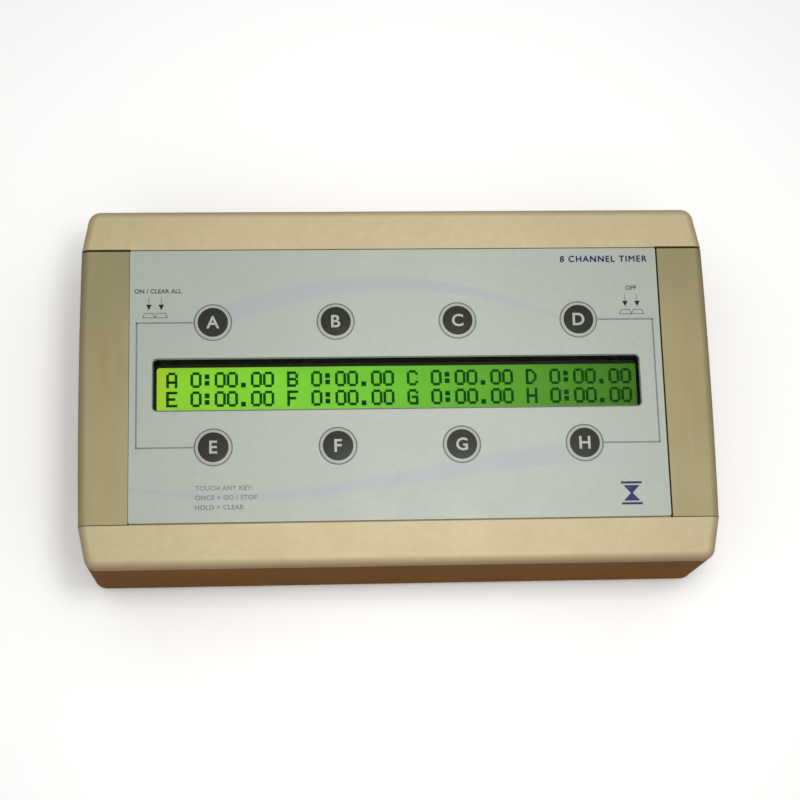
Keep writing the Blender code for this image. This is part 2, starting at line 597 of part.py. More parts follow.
def fasteners():
    case_screw = screw_pattern("case_screw", 2.8, 2.1, 1.5, 24.0)
    seat = CHANNEL_Z - 2.7 + GAP
    copies(case_screw, STEEL, numbered("case_screw", CASE_SCREWS, seat))
    main_screw = screw_pattern("main_board_screw", 2.2, 1.6, 1.1, 5.0)
    board_top = MAIN_BOARD_Z + BOARD_THICKNESS + GAP
    copies(main_screw, STEEL, numbered("main_board_screw", MAIN_BOARD_SCREWS, board_top))
    for name, places, seat_z in (("lcd_screw", LCD_SCREWS, LCD_BOARD_TOP_Z - BOARD_THICKNESS - GAP),
                                 ("key_board_screw", KEY_BOARD_SCREWS, KEY_BOARD_Z - GAP)):
        pattern = screw_pattern(name, 2.2, 1.6, 1.1, 6.0)
        pattern.rotation_euler.x = math.pi
        mesh = evaluated_mesh(pattern)
        mesh.transform(pattern.matrix_world)
        bpy.data.objects.remove(pattern)
        for label, place in numbered(name, places, seat_z):
            finish(add_object(label, mesh, place), STEEL, smooth=True)


def numbered(name, places, z):
    return [("%s_%d" % (name, number + 1), (x, y, z)) for number, (x, y) in enumerate(places)]


upper_shell()
lower_shell()
battery_door()
cover_strips()
front_foil()
display_window()
keys()
switches()
key_boards()
display_module()
main_board()
ribbon_cable()
cells_and_contacts()
feet()
fasteners()
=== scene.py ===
"""Looks of the eight-channel laboratory timer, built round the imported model.

Sizes are in millimetres, as in the design, and the shape helpers turn them into metres.
"""

from math import atan2, copysign, cos, hypot, pi, radians, sin, tan, tau

import bmesh
import bpy
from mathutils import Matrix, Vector


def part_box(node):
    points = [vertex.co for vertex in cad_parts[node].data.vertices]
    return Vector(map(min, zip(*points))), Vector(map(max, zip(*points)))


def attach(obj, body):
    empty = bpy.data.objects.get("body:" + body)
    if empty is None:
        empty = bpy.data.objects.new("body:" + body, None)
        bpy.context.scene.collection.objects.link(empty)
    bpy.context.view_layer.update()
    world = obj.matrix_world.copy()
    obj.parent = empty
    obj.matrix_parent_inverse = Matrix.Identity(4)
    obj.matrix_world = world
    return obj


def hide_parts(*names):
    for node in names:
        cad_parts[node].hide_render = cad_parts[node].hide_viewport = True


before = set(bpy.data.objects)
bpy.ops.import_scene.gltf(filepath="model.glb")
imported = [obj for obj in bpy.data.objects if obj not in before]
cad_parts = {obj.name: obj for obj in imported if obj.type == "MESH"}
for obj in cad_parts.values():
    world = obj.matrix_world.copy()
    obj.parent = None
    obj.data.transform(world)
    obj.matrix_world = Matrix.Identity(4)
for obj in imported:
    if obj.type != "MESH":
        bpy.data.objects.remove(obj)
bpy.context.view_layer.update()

MM = 0.001

# ---- sizes


def box_mm(node):
    """Low and high corner of a node's box."""
    low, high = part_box(node)
    return low / MM, high / MM


def middle(node):
    low, high = box_mm(node)
    return (low + high) / 2


def spots(prefix, names):
    """Plan positions of a family of pieces."""
    return [tuple(middle(prefix + str(name)).xy) for name in names]


FOIL_LOW, FOIL_HIGH = box_mm("front_foil")
WINDOW_LOW, WINDOW_HIGH = box_mm("display_window")
SURROUND_LOW, SURROUND_HIGH = box_mm("display_surround")
GLASS_LOW, GLASS_HIGH = box_mm("lcd_glass")
STRIP_LOW, STRIP_HIGH = box_mm("cover_strip_right")
BOARD_LOW, BOARD_HIGH = box_mm("main_board")
LCD_BOARD_LOW, LCD_BOARD_HIGH = box_mm("lcd_board")
RIBBON_LOW, RIBBON_HIGH = box_mm("ribbon_cable")
DOOR_FRONT_Y = box_mm("battery_door")[0].y
KEY_BOARD_TOP_Z = box_mm("key_board_rear")[1].z

GAP = 0.3  # clearance between neighbouring pieces
CASE_X, CASE_Y = STRIP_HIGH.x, box_mm("upper_shell")[1].y  # half width and half depth
SIDE_BOW = 0.45  # how far the sides curve in towards the bands
SIDE_Y = FOIL_HIGH.y + GAP  # where the sides end and the bands begin
BAND_TAPER = radians(11)
CORNER_RADIUS, TOP_EDGE_RADIUS, BASE_EDGE_RADIUS = 4.0, 2.6, 2.8
RIM_STEPS = 9

PANEL_Z = FOIL_HIGH.z
SEAM_GAP = 0.15  # each shell stops this far from the joint line
SEAM_Z = box_mm("lower_shell")[1].z + SEAM_GAP
BASE_Z = box_mm("lower_shell")[0].z
CHANNEL_Z = PANEL_Z - 3.2  # floor of the channels under the cover strips
PANEL_UNDER_Z = PANEL_Z - 3.3  # underside of the lid below the foil
POST_MEET_Z = 21.5  # where the posts of the two shells meet
HOLLOW_Z = 30.0  # a height in the hollow of the case
WALL, FLOOR, LID_FLOOR = 2.3, 2.2, 2.5
SPIGOT_WALL, SPIGOT_DEPTH = 1.4, 3.5
PAST = 5  # how far a cutter runs past the face that it cuts
BESIDE = 105.0  # a place beside the case

STRIP_THICKNESS = 2.9
CLIP_X, CLIP_Y = 89.0, 26.0  # clips of the cover strips
CASE_POST_RADIUS, CASE_BORE_RADIUS, CASE_HEAD_RADIUS = 4.2, 1.9, 3.2
BOARD_POST_RADIUS, SMALL_POST_RADIUS, SMALL_BORE_RADIUS = 3.0, 2.6, 1.4

SURROUND_BORDER, SURROUND_CORNER, WINDOW_CORNER = 2.3, 1.5, 1.2
WINDOW_X = SURROUND_HIGH.x - SURROUND_BORDER
WINDOW_Y = SURROUND_HIGH.y - SURROUND_BORDER
WINDOW_LINE = 0.36  # thin dark line drawn round the window
DISPLAY = (GLASS_LOW + GLASS_HIGH) / 2
VIEW_X = 77.2  # half width of the lit display

KEY_RADIUS = 5.65
KEY_HOLE_RADIUS = 5.90
FLANGE_RADIUS = 7.0
KEY_FACE_RADIUS = 5.1  # the crown, inside the rounded shoulder
KEY_DISC_RADIUS = 4.65
CROWN_HEIGHT, CROWN_FALL = 0.42, 0.16
PRINT_LOW_Z, PRINT_HIGH_Z = PANEL_Z - 0.03, PANEL_Z + 0.02
KEY_LETTERS = "ABCDEFGH"
PIN_PITCH = 2.54

KEY_SPOTS = spots("key_", KEY_LETTERS.lower())
FOOT_SPOTS = spots("foot_", range(1, 5))
CASE_SPOTS = spots("case_screw_", range(1, 5))
LCD_SPOTS = spots("lcd_screw_", range(1, 5))
KEY_BOARD_SPOTS = spots("key_board_screw_", range(1, 5))
BOARD_SPOTS = spots("main_board_screw_", range(1, 3))
PEG_SPOTS = [(-x, y) for x, y in BOARD_SPOTS]
CORNERS = [(side, end) for side in (-1, 1) for end in (-1, 1)]

# ---- node materials


def plug(socket, value):
    """Give a socket a number, a colour or another node's output."""
    if isinstance(value, bpy.types.NodeSocket):
        socket.id_data.links.new(value, socket)
    else:
        socket.default_value = (*value, 1.0) if socket.type == "RGBA" else value


def feed(node, **inputs):
    """Plug values into a node's inputs, with _ for each space in their names."""
    for name, value in inputs.items():
        plug(next(s for s in node.inputs if s.enabled and s.name == name.replace("_", " ")), value)
    return node


def add_node(tree, kind, **inputs):
    return feed(tree.nodes.new("ShaderNode" + kind), **inputs)


def new_material(name, roughness, metallic=0.0, specular=0.5):
    """A Principled material, with its node tree and its shader."""
    material = bpy.data.materials.new(name)
    material.use_nodes = True
    tree = material.node_tree
    shader = tree.nodes["Principled BSDF"]
    return material, tree, feed(shader, Roughness=roughness, Metallic=metallic, Specular_IOR_Level=specular)


def own_place(tree):
    """A point in the timer's own frame, in metres."""
    return add_node(tree, "TexCoord").outputs["Object"]


def axes(tree):
    return add_node(tree, "SeparateXYZ", Vector=own_place(tree)).outputs


def noise(tree, scale, detail=2.0, stretch=(1, 1, 1)):
    """Solid noise, scale in features per metre."""
    mapping = add_node(tree, "Mapping", Vector=own_place(tree), Scale=stretch)
    texture = add_node(tree, "TexNoise", Vector=mapping.outputs["Vector"], Scale=scale, Detail=detail)
    return texture.outputs["Fac"]


def colour_ramp(tree, factor, stops):
    """Colours along a factor, each stop a position and a colour."""
    ramp = add_node(tree, "ValToRGB", Fac=factor)
    elements = ramp.color_ramp.elements
    elements[0].position, elements[1].position = stops[0][0], stops[-1][0]
    for position, _ in stops[1:-1]:
        elements.new(position)
    for element, (_, colour) in zip(elements, stops):
        element.color = (*colour, 1.0)
    return ramp.outputs["Color"]


def blend(tree, factor, first, second):
    """Two colours blended by a noise, which lies mostly between 0.3 and 0.7."""
    return colour_ramp(tree, factor, ((0.3, first), (0.7, second)))


def mixed(tree, factor, first, second, mode="MIX"):
    """Two colours or outputs mixed by a factor."""
    mix = tree.nodes.new("ShaderNodeMix")
    mix.data_type = "RGBA"
    mix.blend_type = mode
    feed(mix, Factor=factor, A=first, B=second)
    return next(s for s in mix.outputs if s.enabled)


def ranged(tree, value, from_low, from_high, to_low=0.0, to_high=1.0):
    """A value carried from one range to another."""
    change = add_node(tree, "MapRange", Value=value, From_Min=from_low, From_Max=from_high)
    return feed(change, To_Min=to_low, To_Max=to_high).outputs["Result"]


def calc(tree, operation, first, second=0.0):
    node = tree.nodes.new("ShaderNodeMath")
    node.operation = operation
    plug(node.inputs[0], first)
    plug(node.inputs[1], second)
    return node.outputs[0]


def add_bump(tree, shader, height, strength, depth_mm):
    bump = add_node(tree, "Bump", Height=height, Strength=strength, Distance=depth_mm * MM)
    feed(shader, Normal=bump.outputs["Normal"])


# painted shade down the rounded top edge: how fast it falls off and how much of the rim colour it reaches
RIM_FALLOFF, RIM_COVER = 0.45, 0.97


def plastic(name, light, dark, roughness, grain=1100.0, bump=0.25, specular=0.4, stretch=(1, 1, 1),
        painted_shade_colour=None, painted_light_ramp=None):
    """Moulded plastic: faint clouds, mottled grain, uneven gloss and a spark-eroded skin.

    A painted rim shade deepens down the rounded top edge. Painted light is a brightness at the front and one
    at the rear.
    """
    material, tree, shader = new_material(name, roughness, 0.0, specular)
    clouds = blend(tree, noise(tree, 26.0, 3.0), dark, light)
    mottle = blend(tree, noise(tree, 420.0, 3.0, stretch), (0.93, 0.93, 0.93), (1.0, 1.0, 1.0))
    colour = mixed(tree, 1.0, clouds, mottle, "MULTIPLY")
    # painted shade: the colour darkens towards the rim colour down the rounded top edge
    if painted_shade_colour:
        depth = ranged(tree, axes(tree)[2], PANEL_Z * MM, (PANEL_Z - TOP_EDGE_RADIUS) * MM)
        painted_shade_amount = calc(tree, "MULTIPLY", calc(tree, "POWER", depth, RIM_FALLOFF), RIM_COVER)
        colour = mixed(tree, painted_shade_amount, colour, painted_shade_colour)
    # painted light: the colour is lighter at the front and darker at the rear
    if painted_light_ramp:
        along = ranged(tree, axes(tree)[1], -SIDE_Y * MM, SIDE_Y * MM, *painted_light_ramp)
        colour = mixed(tree, 1.0, colour, along, "MULTIPLY")
    gloss = ranged(tree, noise(tree, 60.0, 4.0), 0.3, 0.7, roughness - 0.06, roughness + 0.08)
    feed(shader, Base_Color=colour, Roughness=gloss)
    add_bump(tree, shader, noise(tree, grain, 1.0), bump, 0.04)
    return material


def wave_band(tree, x, y, centre, height, phase, half_length, half_width, growth):
    """A soft-edged band along a slow wave: 1 inside it and 0 outside."""
    angle = calc(tree, "MULTIPLY", calc(tree, "ADD", x, -phase * MM), pi / (half_length * MM))
    wave = calc(tree, "MULTIPLY", calc(tree, "COSINE", angle), height * MM)
    level = calc(tree, "SUBTRACT", calc(tree, "SUBTRACT", y, centre * MM), wave)
    reach = calc(tree, "ADD", calc(tree, "MULTIPLY", x, growth), half_width * MM)
    return ranged(tree, calc(tree, "SUBTRACT", reach, calc(tree, "ABSOLUTE", level)), -0.4 * MM, 0.6 * MM)


def foil_material():
    """Printed polyester: cool grey ground, two faint lavender waves and a matte texture."""
    material, tree, shader = new_material("printed_polyester", 0.42, 0.0, 0.35)
    x, y, _ = axes(tree)
    upper = wave_band(tree, x, y, 12.0, 20.0, -3.0, 150.0, 2.1, -0.024)
    upper = calc(tree, "MULTIPLY", upper, ranged(tree, x, -76 * MM, -50 * MM))
    lower = wave_band(tree, x, y, -29.0, 6.0, 62.0, 110.0, 2.2, 0.022)
    lower = calc(tree, "MULTIPLY", lower, ranged(tree, x, 76 * MM, 40 * MM))
    bands = calc(tree, "MULTIPLY", calc(tree, "MAXIMUM", upper, lower), 0.75)
    ground = blend(tree, noise(tree, 18.0, 3.0), FOIL_DARK, FOIL_LIGHT)
    speckle = blend(tree, noise(tree, 600.0, 2.0), (0.95, 0.95, 0.95), (1.0, 1.0, 1.0))
    ground = mixed(tree, 1.0, ground, speckle, "MULTIPLY")
    feed(shader, Base_Color=mixed(tree, bands, ground, FOIL_WAVE),
        Roughness=ranged(tree, noise(tree, 70.0, 4.0), 0.3, 0.7, 0.38, 0.52))
    add_bump(tree, shader, noise(tree, 2200.0, 1.0), 0.15, 0.02)
    return material


# the last stops darken the right end: painted shadow of the surround
GLOW_AND_PAINTED_SHADOW = ((0.0, (0.36, 0.60, 0.020)), (0.04, (0.25, 0.60, 0.022)), (0.25, (0.185, 0.58, 0.028)),
        (0.5, (0.130, 0.455, 0.024)), (0.8, (0.070, 0.246, 0.013)), (0.96, (0.042, 0.152, 0.010)),
        (1.0, (0.030, 0.085, 0.009)))


def display_material():
    """Back-lit yellow-green, brightest at the left, where the lamps are, and darkened at the right end by a
    painted shadow of the surround.
    """
    material, tree, shader = new_material("display_green", 0.3, 0.0, 0.1)
    along = axes(tree)[0]
    share = ranged(tree, along, (DISPLAY.x - VIEW_X) * MM, (DISPLAY.x + VIEW_X) * MM)
    clouds = blend(tree, noise(tree, 90.0, 2.0), (0.90, 0.92, 0.90), (1.0, 1.0, 1.0))
    shaded = mixed(tree, 1.0, colour_ramp(tree, share, GLOW_AND_PAINTED_SHADOW), clouds, "MULTIPLY")
    feed(shader, Emission_Color=shaded, Emission_Strength=0.80,
        Base_Color=mixed(tree, 1.0, shaded, (0.3, 0.3, 0.3), "MULTIPLY"))
    return material


def ink(name, colour, specular=0.3):
    """Screen-printed ink with slightly uneven cover."""
    material, tree, shader = new_material(name, 0.5, 0.0, specular)
    thin = tuple(min(1.0, part * 1.25 + 0.01) for part in colour)
    feed(shader, Base_Color=blend(tree, noise(tree, 900.0, 2.0), colour, thin))
    add_bump(tree, shader, noise(tree, 1500.0, 1.0), 0.1, 0.01)
    return material


def metal(name, light, dark, roughness):
    """Plated metal with fine drawn lines."""
    material, tree, shader = new_material(name, roughness, 1.0)
    lines = noise(tree, 500.0, 3.0, (1, 1, 8))
    feed(shader, Base_Color=blend(tree, lines, dark, light),
        Roughness=ranged(tree, lines, 0.3, 0.7, roughness - 0.08, roughness + 0.1))
    add_bump(tree, shader, lines, 0.15, 0.01)
    return material


def board_material():
    """Solder mask over copper tracks, which show as raised, lighter lines."""
    material, tree, shader = new_material("solder_mask", 0.3)
    tracks = add_node(tree, "TexBrick", Vector=own_place(tree), Scale=1.0, Mortar_Size=0.00022,
        Mortar_Smooth=0.1, Brick_Width=0.0093, Row_Height=0.0016)
    tracks.offset = 0.37
    tracks.squash = 0.6
    raised = tracks.outputs["Fac"]
    mask = blend(tree, noise(tree, 60.0, 3.0), (0.010, 0.095, 0.036), (0.016, 0.125, 0.048))
    feed(shader, Base_Color=mixed(tree, raised, mask, (0.040, 0.240, 0.085)))
    add_bump(tree, shader, raised, 0.4, 0.04)
    return material


def clear_material():
    """Clear acrylic with a polished face."""
    material, tree, shader = new_material("clear_acrylic", 0.05, 0.0, 0.08)
    tint = blend(tree, noise(tree, 40.0), (0.05, 0.06, 0.05), (0.07, 0.08, 0.07))
    feed(shader, Base_Color=tint, Alpha=0.02)
    return material


FOIL_DARK = (0.286, 0.318, 0.274)
FOIL_LIGHT = (0.310, 0.341, 0.296)
FOIL_WAVE = (0.268, 0.290, 0.308)
# painted shade colours for the rounded top edges of lid and strips
PAINTED_RIM_SHADE = (0.128, 0.066, 0.0200)
PAINTED_STRIP_RIM_SHADE = (0.088, 0.053, 0.0180)
STRIP_PAINTED_LIGHT = (1.14, 0.87)  # painted light: lighter at the front than at the rear

CREAM = plastic("cream_moulding", (0.412, 0.352, 0.200), (0.388, 0.327, 0.182), 0.50, painted_shade_colour=PAINTED_RIM_SHADE)
OLIVE = plastic("olive_moulding", (0.266, 0.230, 0.109), (0.233, 0.200, 0.092), 0.55, 900.0, 0.3, 0.35,
    (1.0, 0.12, 1.0), PAINTED_STRIP_RIM_SHADE, STRIP_PAINTED_LIGHT)
# painted shade: this brown stands in for the warm shade that falls on the case's walls
PAINTED_SHADE_BROWN = plastic("brown_moulding_painted_shade", (0.137, 0.061, 0.0160), (0.119, 0.053, 0.0135), 0.66, 1000.0, 0.3, 0.006)
BLACK = plastic("black_moulding", (0.007, 0.008, 0.006), (0.004, 0.004, 0.003), 0.80, 1500.0, 0.02, 0.03)
KEY_GREY = plastic("key_grey", (0.290, 0.314, 0.286), (0.269, 0.292, 0.265), 0.42, 1800.0, 0.1, 0.3)
KEY_DARK = plastic("key_print_dark", (0.018, 0.018, 0.012), (0.014, 0.014, 0.010), 0.40, 1800.0, 0.1, 0.16)
RUBBER = plastic("foot_rubber", (0.030, 0.030, 0.030), (0.018, 0.018, 0.018), 0.80, 900.0, 0.5)
MILKY = plastic("light_guide", (0.74, 0.82, 0.66), (0.68, 0.78, 0.58), 0.35)
RIBBON = plastic("ribbon_sleeve", (0.36, 0.36, 0.38), (0.28, 0.28, 0.30), 0.5)
RED_SLEEVE = plastic("marked_wire", (0.42, 0.03, 0.02), (0.32, 0.02, 0.015), 0.5)
JACKET = plastic("cell_sleeve", (0.020, 0.020, 0.024), (0.012, 0.012, 0.015), 0.25, 400.0, 0.1)
COPPER_JACKET = metal("cell_sleeve_copper", (0.62, 0.33, 0.14), (0.50, 0.25, 0.10), 0.30)
SEAL = plastic("key_seal", (0.24, 0.26, 0.24), (0.20, 0.22, 0.20), 0.6)
CERAMIC = plastic("ceramic", (0.36, 0.27, 0.16), (0.30, 0.22, 0.12), 0.45)
ZINC = metal("zinc_plate", (0.66, 0.66, 0.64), (0.48, 0.48, 0.47), 0.32)
NICKEL = metal("nickel_plate", (0.70, 0.66, 0.58), (0.55, 0.52, 0.46), 0.26)
COATED_STEEL = metal("black_coated_steel", (0.018, 0.018, 0.017), (0.010, 0.010, 0.010), 0.55)
BOARD = board_material()
FOIL = foil_material()
DISPLAY_GLASS = display_material()
CLEAR = clear_material()
DOT_INK = ink("display_dot", (0.0005, 0.060, 0.001), 0.0)
GREY_INK = ink("grey_ink", (0.115, 0.130, 0.140))
DARK_INK = ink("dark_ink", (0.030, 0.034, 0.050))
NAVY_INK = ink("navy_ink", (0.012, 0.017, 0.072), 0.15)
ARROW_INK = ink("arrow_ink", (0.004, 0.006, 0.006), 0.1)
LETTER_INK = ink("letter_ink", (0.265, 0.265, 0.232))
WINDOW_LINE_COLOUR = ink("window_line_colour", (0.085, 0.094, 0.088), 0.1)

# ---- mesh helpers


def linked(name, data, location=(0, 0, 0)):
    item = bpy.data.objects.new(name, data)
    item.location = [value * MM for value in location]
    bpy.context.scene.collection.objects.link(item)
    return item


def add_mesh(name, shape, location=(0, 0, 0)):
    mesh = bpy.data.meshes.new(name)
    shape.to_mesh(mesh)
    shape.free()
    return linked(name, mesh, location)


def evaluated_mesh(item):
    bpy.context.view_layer.update()
    graph = bpy.context.evaluated_depsgraph_get()
    return bpy.data.meshes.new_from_object(item.evaluated_get(graph))


def drawn_mesh(name, curve):
    """The mesh that a curve or a text makes."""
    item = linked(name, curve)
    mesh = evaluated_mesh(item)
    bpy.data.objects.remove(item)
    return mesh


def add_spline(curve, points, closed):
    spline = curve.splines.new("POLY")
    spline.points.add(len(points) - 1)
    for point, place in zip(spline.points, points):
        point.co = (*(value * MM for value in place), 1.0)
    spline.use_cyclic_u = closed


def settle(item):
    """Apply an item's modifiers and its place."""
    mesh = evaluated_mesh(item)
    mesh.transform(item.matrix_world)
    name = item.name
    bpy.data.objects.remove(item)
    return linked(name, mesh)


def combine(item, operation, *tools):
    """Cut, join or intersect an item with tools, which are used up."""
    for tool in tools:
        change = item.modifiers.new(tool.name, "BOOLEAN")
        change.operation = operation
        change.solver = "EXACT"
        change.object = tool
    result = settle(item)
    for tool in tools:
        bpy.data.objects.remove(tool)
    return result


def cut(item, *tools):
    return combine(item, "DIFFERENCE", *tools)


def soften(item, width, segments=2, angle=35):
    """Round every sharp edge a little."""
    bevel = item.modifiers.new("soft_edges", "BEVEL")
    bevel.width = width * MM
    bevel.segments = segments
    bevel.limit_method = "ANGLE"
    bevel.angle_limit = radians(angle)
    bevel.miter_outer = "MITER_ARC"
    return settle(item)


def smooth(item, angle):
    item.data.shade_smooth()
    item.data.set_sharp_from_angle(angle=radians(angle))


def shade(item, angle=50):
    """Smooth shading across soft edges, with flats kept flat."""
    smooth(item, angle)
    even = item.modifiers.new("even_normals", "WEIGHTED_NORMAL")
    even.keep_sharp = True
    return settle(item)


def join(name, *parts):
    """Items as one piece, each given with its material."""
    joined = bmesh.new()
    for number, (part, material) in enumerate(parts):
        first = len(joined.faces)
        part.data.transform(part.matrix_basis)
        joined.from_mesh(part.data)
        joined.faces.ensure_lookup_table()
        for face in joined.faces[first:]:
            face.material_index = number
        bpy.data.objects.remove(part)
    item = add_mesh(name, joined)
    for _, material in parts:
        item.data.materials.append(material)
    return item


def show(item, material, slot, *nodes, body="case"):
    """Give a piece its material and its body, and hide the CAD nodes that it stands for."""
    if material:
        item.data.materials.clear()
        item.data.materials.append(material)
    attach(item, body)
    if nodes:
        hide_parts(*nodes)


def assembly(name, slot, node, *parts):
    """Parts with materials of their own as the piece that stands for a node."""
    show(shade(join(name, *parts)), None, slot, node)


def around(x, y, half_x, half_y, low_z, high_z):
    """A box's two corners, from its middle in plan."""
    return (x - half_x, y - half_y, low_z), (x + half_x, y + half_y, high_z)


def blocks(name, boxes):
    """Boxes between low and high corners, as one item."""
    shape = bmesh.new()
    for low, high in boxes:
        made = bmesh.ops.create_cube(shape, size=1.0)
        bmesh.ops.scale(shape, vec=[(b - a) * MM for a, b in zip(low, high)], verts=made["verts"])
        bmesh.ops.translate(shape, vec=[(a + b) / 2 * MM for a, b in zip(low, high)], verts=made["verts"])
    return add_mesh(name, shape)


def block(name, low, high, corner=0.0, corner_segments=8):
    shape = bmesh.new()
    bmesh.ops.create_cube(shape, size=1.0)
    bmesh.ops.scale(shape, vec=[(b - a) * MM for a, b in zip(low, high)], verts=shape.verts)
    if corner:
        upright = [e for e in shape.edges if abs(e.verts[0].co.z - e.verts[1].co.z) > 1e-6]
        bmesh.ops.bevel(shape, geom=upright, offset=corner * MM, segments=corner_segments, profile=0.5,
            affect="EDGES", clamp_overlap=True)
    return add_mesh(name, shape, [(a + b) / 2 for a, b in zip(low, high)])


def drums(name, places, radius, low_z, high_z, segments=48):
    shape = bmesh.new()
    for x, y in places:
        made = bmesh.ops.create_cone(shape, cap_ends=True, segments=segments, radius1=radius * MM,
            radius2=radius * MM, depth=(high_z - low_z) * MM)
        bmesh.ops.translate(shape, vec=(x * MM, y * MM, (low_z + high_z) / 2 * MM), verts=made["verts"])
    return add_mesh(name, shape)


def lathe(name, profile, steps=64, location=(0, 0, 0)):
    """A piece turned about +Z, from a profile that runs down its outer side."""
    mesh = bpy.data.meshes.new(name)
    edges = [(i, i + 1) for i in range(len(profile) - 1)]
    mesh.from_pydata([(r * MM, 0.0, z * MM) for r, z in profile], edges, [])
    item = linked(name, mesh, location)
    screw = item.modifiers.new("turn", "SCREW")
    screw.steps = steps
    screw.render_steps = steps
    screw.use_merge_vertices = True
    screw.merge_threshold = 0.00001
    return settle(item)


def plate(name, outlines, low_z, high_z):
    """An outline between two heights, with the later outlines as holes."""
    curve = bpy.data.curves.new(name, "CURVE")
    curve.dimensions = "2D"
    curve.fill_mode = "BOTH"
    curve.extrude = (high_z - low_z) / 2 * MM
    for outline in outlines:
        add_spline(curve, [(x, y, 0.0) for x, y in outline], True)
    shape = bmesh.new()
    shape.from_mesh(drawn_mesh(name, curve))
    bmesh.ops.remove_doubles(shape, verts=shape.verts, dist=0.000005)
    bmesh.ops.dissolve_limit(shape, angle_limit=0.001, verts=shape.verts, edges=shape.edges)
    bmesh.ops.recalc_face_normals(shape, faces=shape.faces)
    return add_mesh(name, shape, (0, 0, (low_z + high_z) / 2))


def round_rim(item, top, radius):
    """Round the rim of a plate's top or bottom face."""
    shape = bmesh.new()
    shape.from_mesh(item.data)
    heights = [vertex.co.z for vertex in shape.verts]
    level = max(heights) if top else min(heights)
    rim = [edge for edge in shape.edges if all(abs(v.co.z - level) < 1e-6 for v in edge.verts)]
    bmesh.ops.bevel(shape, geom=rim, offset=radius * MM, segments=RIM_STEPS, profile=0.5, affect="EDGES",
        clamp_overlap=True)
    shape.to_mesh(item.data)
    shape.free()
    return item


def circle(x, y, radius, steps=72):
    return [(x + radius * cos(tau * i / steps), y + radius * sin(tau * i / steps)) for i in range(steps)]


def rounded_box(half_x, half_y, radius, steps=8, centre=(0, 0)):
    points = []
    for quarter, (sx, sy) in enumerate(((1, 1), (-1, 1), (-1, -1), (1, -1))):
        for i in range(steps + 1):
            angle = pi / 2 * (quarter + i / steps)
            points.append((centre[0] + sx * (half_x - radius) + radius * cos(angle),
                           centre[1] + sy * (half_y - radius) + radius * sin(angle)))
    return points


def corner_arc(before, corner, after, radius, steps=12):
    """A rounded corner between two straight sides of an outline."""
    back = atan2(before[1] - corner[1], before[0] - corner[0])
    ahead = atan2(after[1] - corner[1], after[0] - corner[0])
    turn = (ahead - back + pi) % tau - pi
    reach = radius / sin(abs(turn) / 2)
    inward = back + turn / 2
    centre = (corner[0] + reach * cos(inward), corner[1] + reach * sin(inward))
    start = back - copysign(pi / 2, turn)
    sweep = copysign(pi - abs(turn), -turn)
    angles = [start + sweep * i / steps for i in range(steps + 1)]
    return [(centre[0] + radius * cos(a), centre[1] + radius * sin(a)) for a in angles]


def case_outline(inset=0.0):
    """Plan of the case: bowed sides, drawn-in bands and rounded corners."""
    side_x = CASE_X - SIDE_BOW - inset
    rear_y = CASE_Y - inset
    shoulder = (side_x, SIDE_Y)
    tip = (side_x - (rear_y - SIDE_Y) * tan(BAND_TAPER), rear_y)
    corner = corner_arc(shoulder, tip, (0, rear_y), max(CORNER_RADIUS - inset, 1.0))
    bow = [(side_x + SIDE_BOW * (1 - (i / 6) ** 2), SIDE_Y * i / 6) for i in range(6)]
    quarter = bow + [shoulder] + corner
    right = [(x, -y) for x, y in reversed(quarter[1:])] + quarter
    return right + [(-x, -y) for x, y in right]


def case_skin(name, low_z, high_z, top, radius):
    """A slab with the case's plan and one rounded rim."""
    return round_rim(plate(name, [case_outline()], low_z, high_z), top, radius)


# ---- case


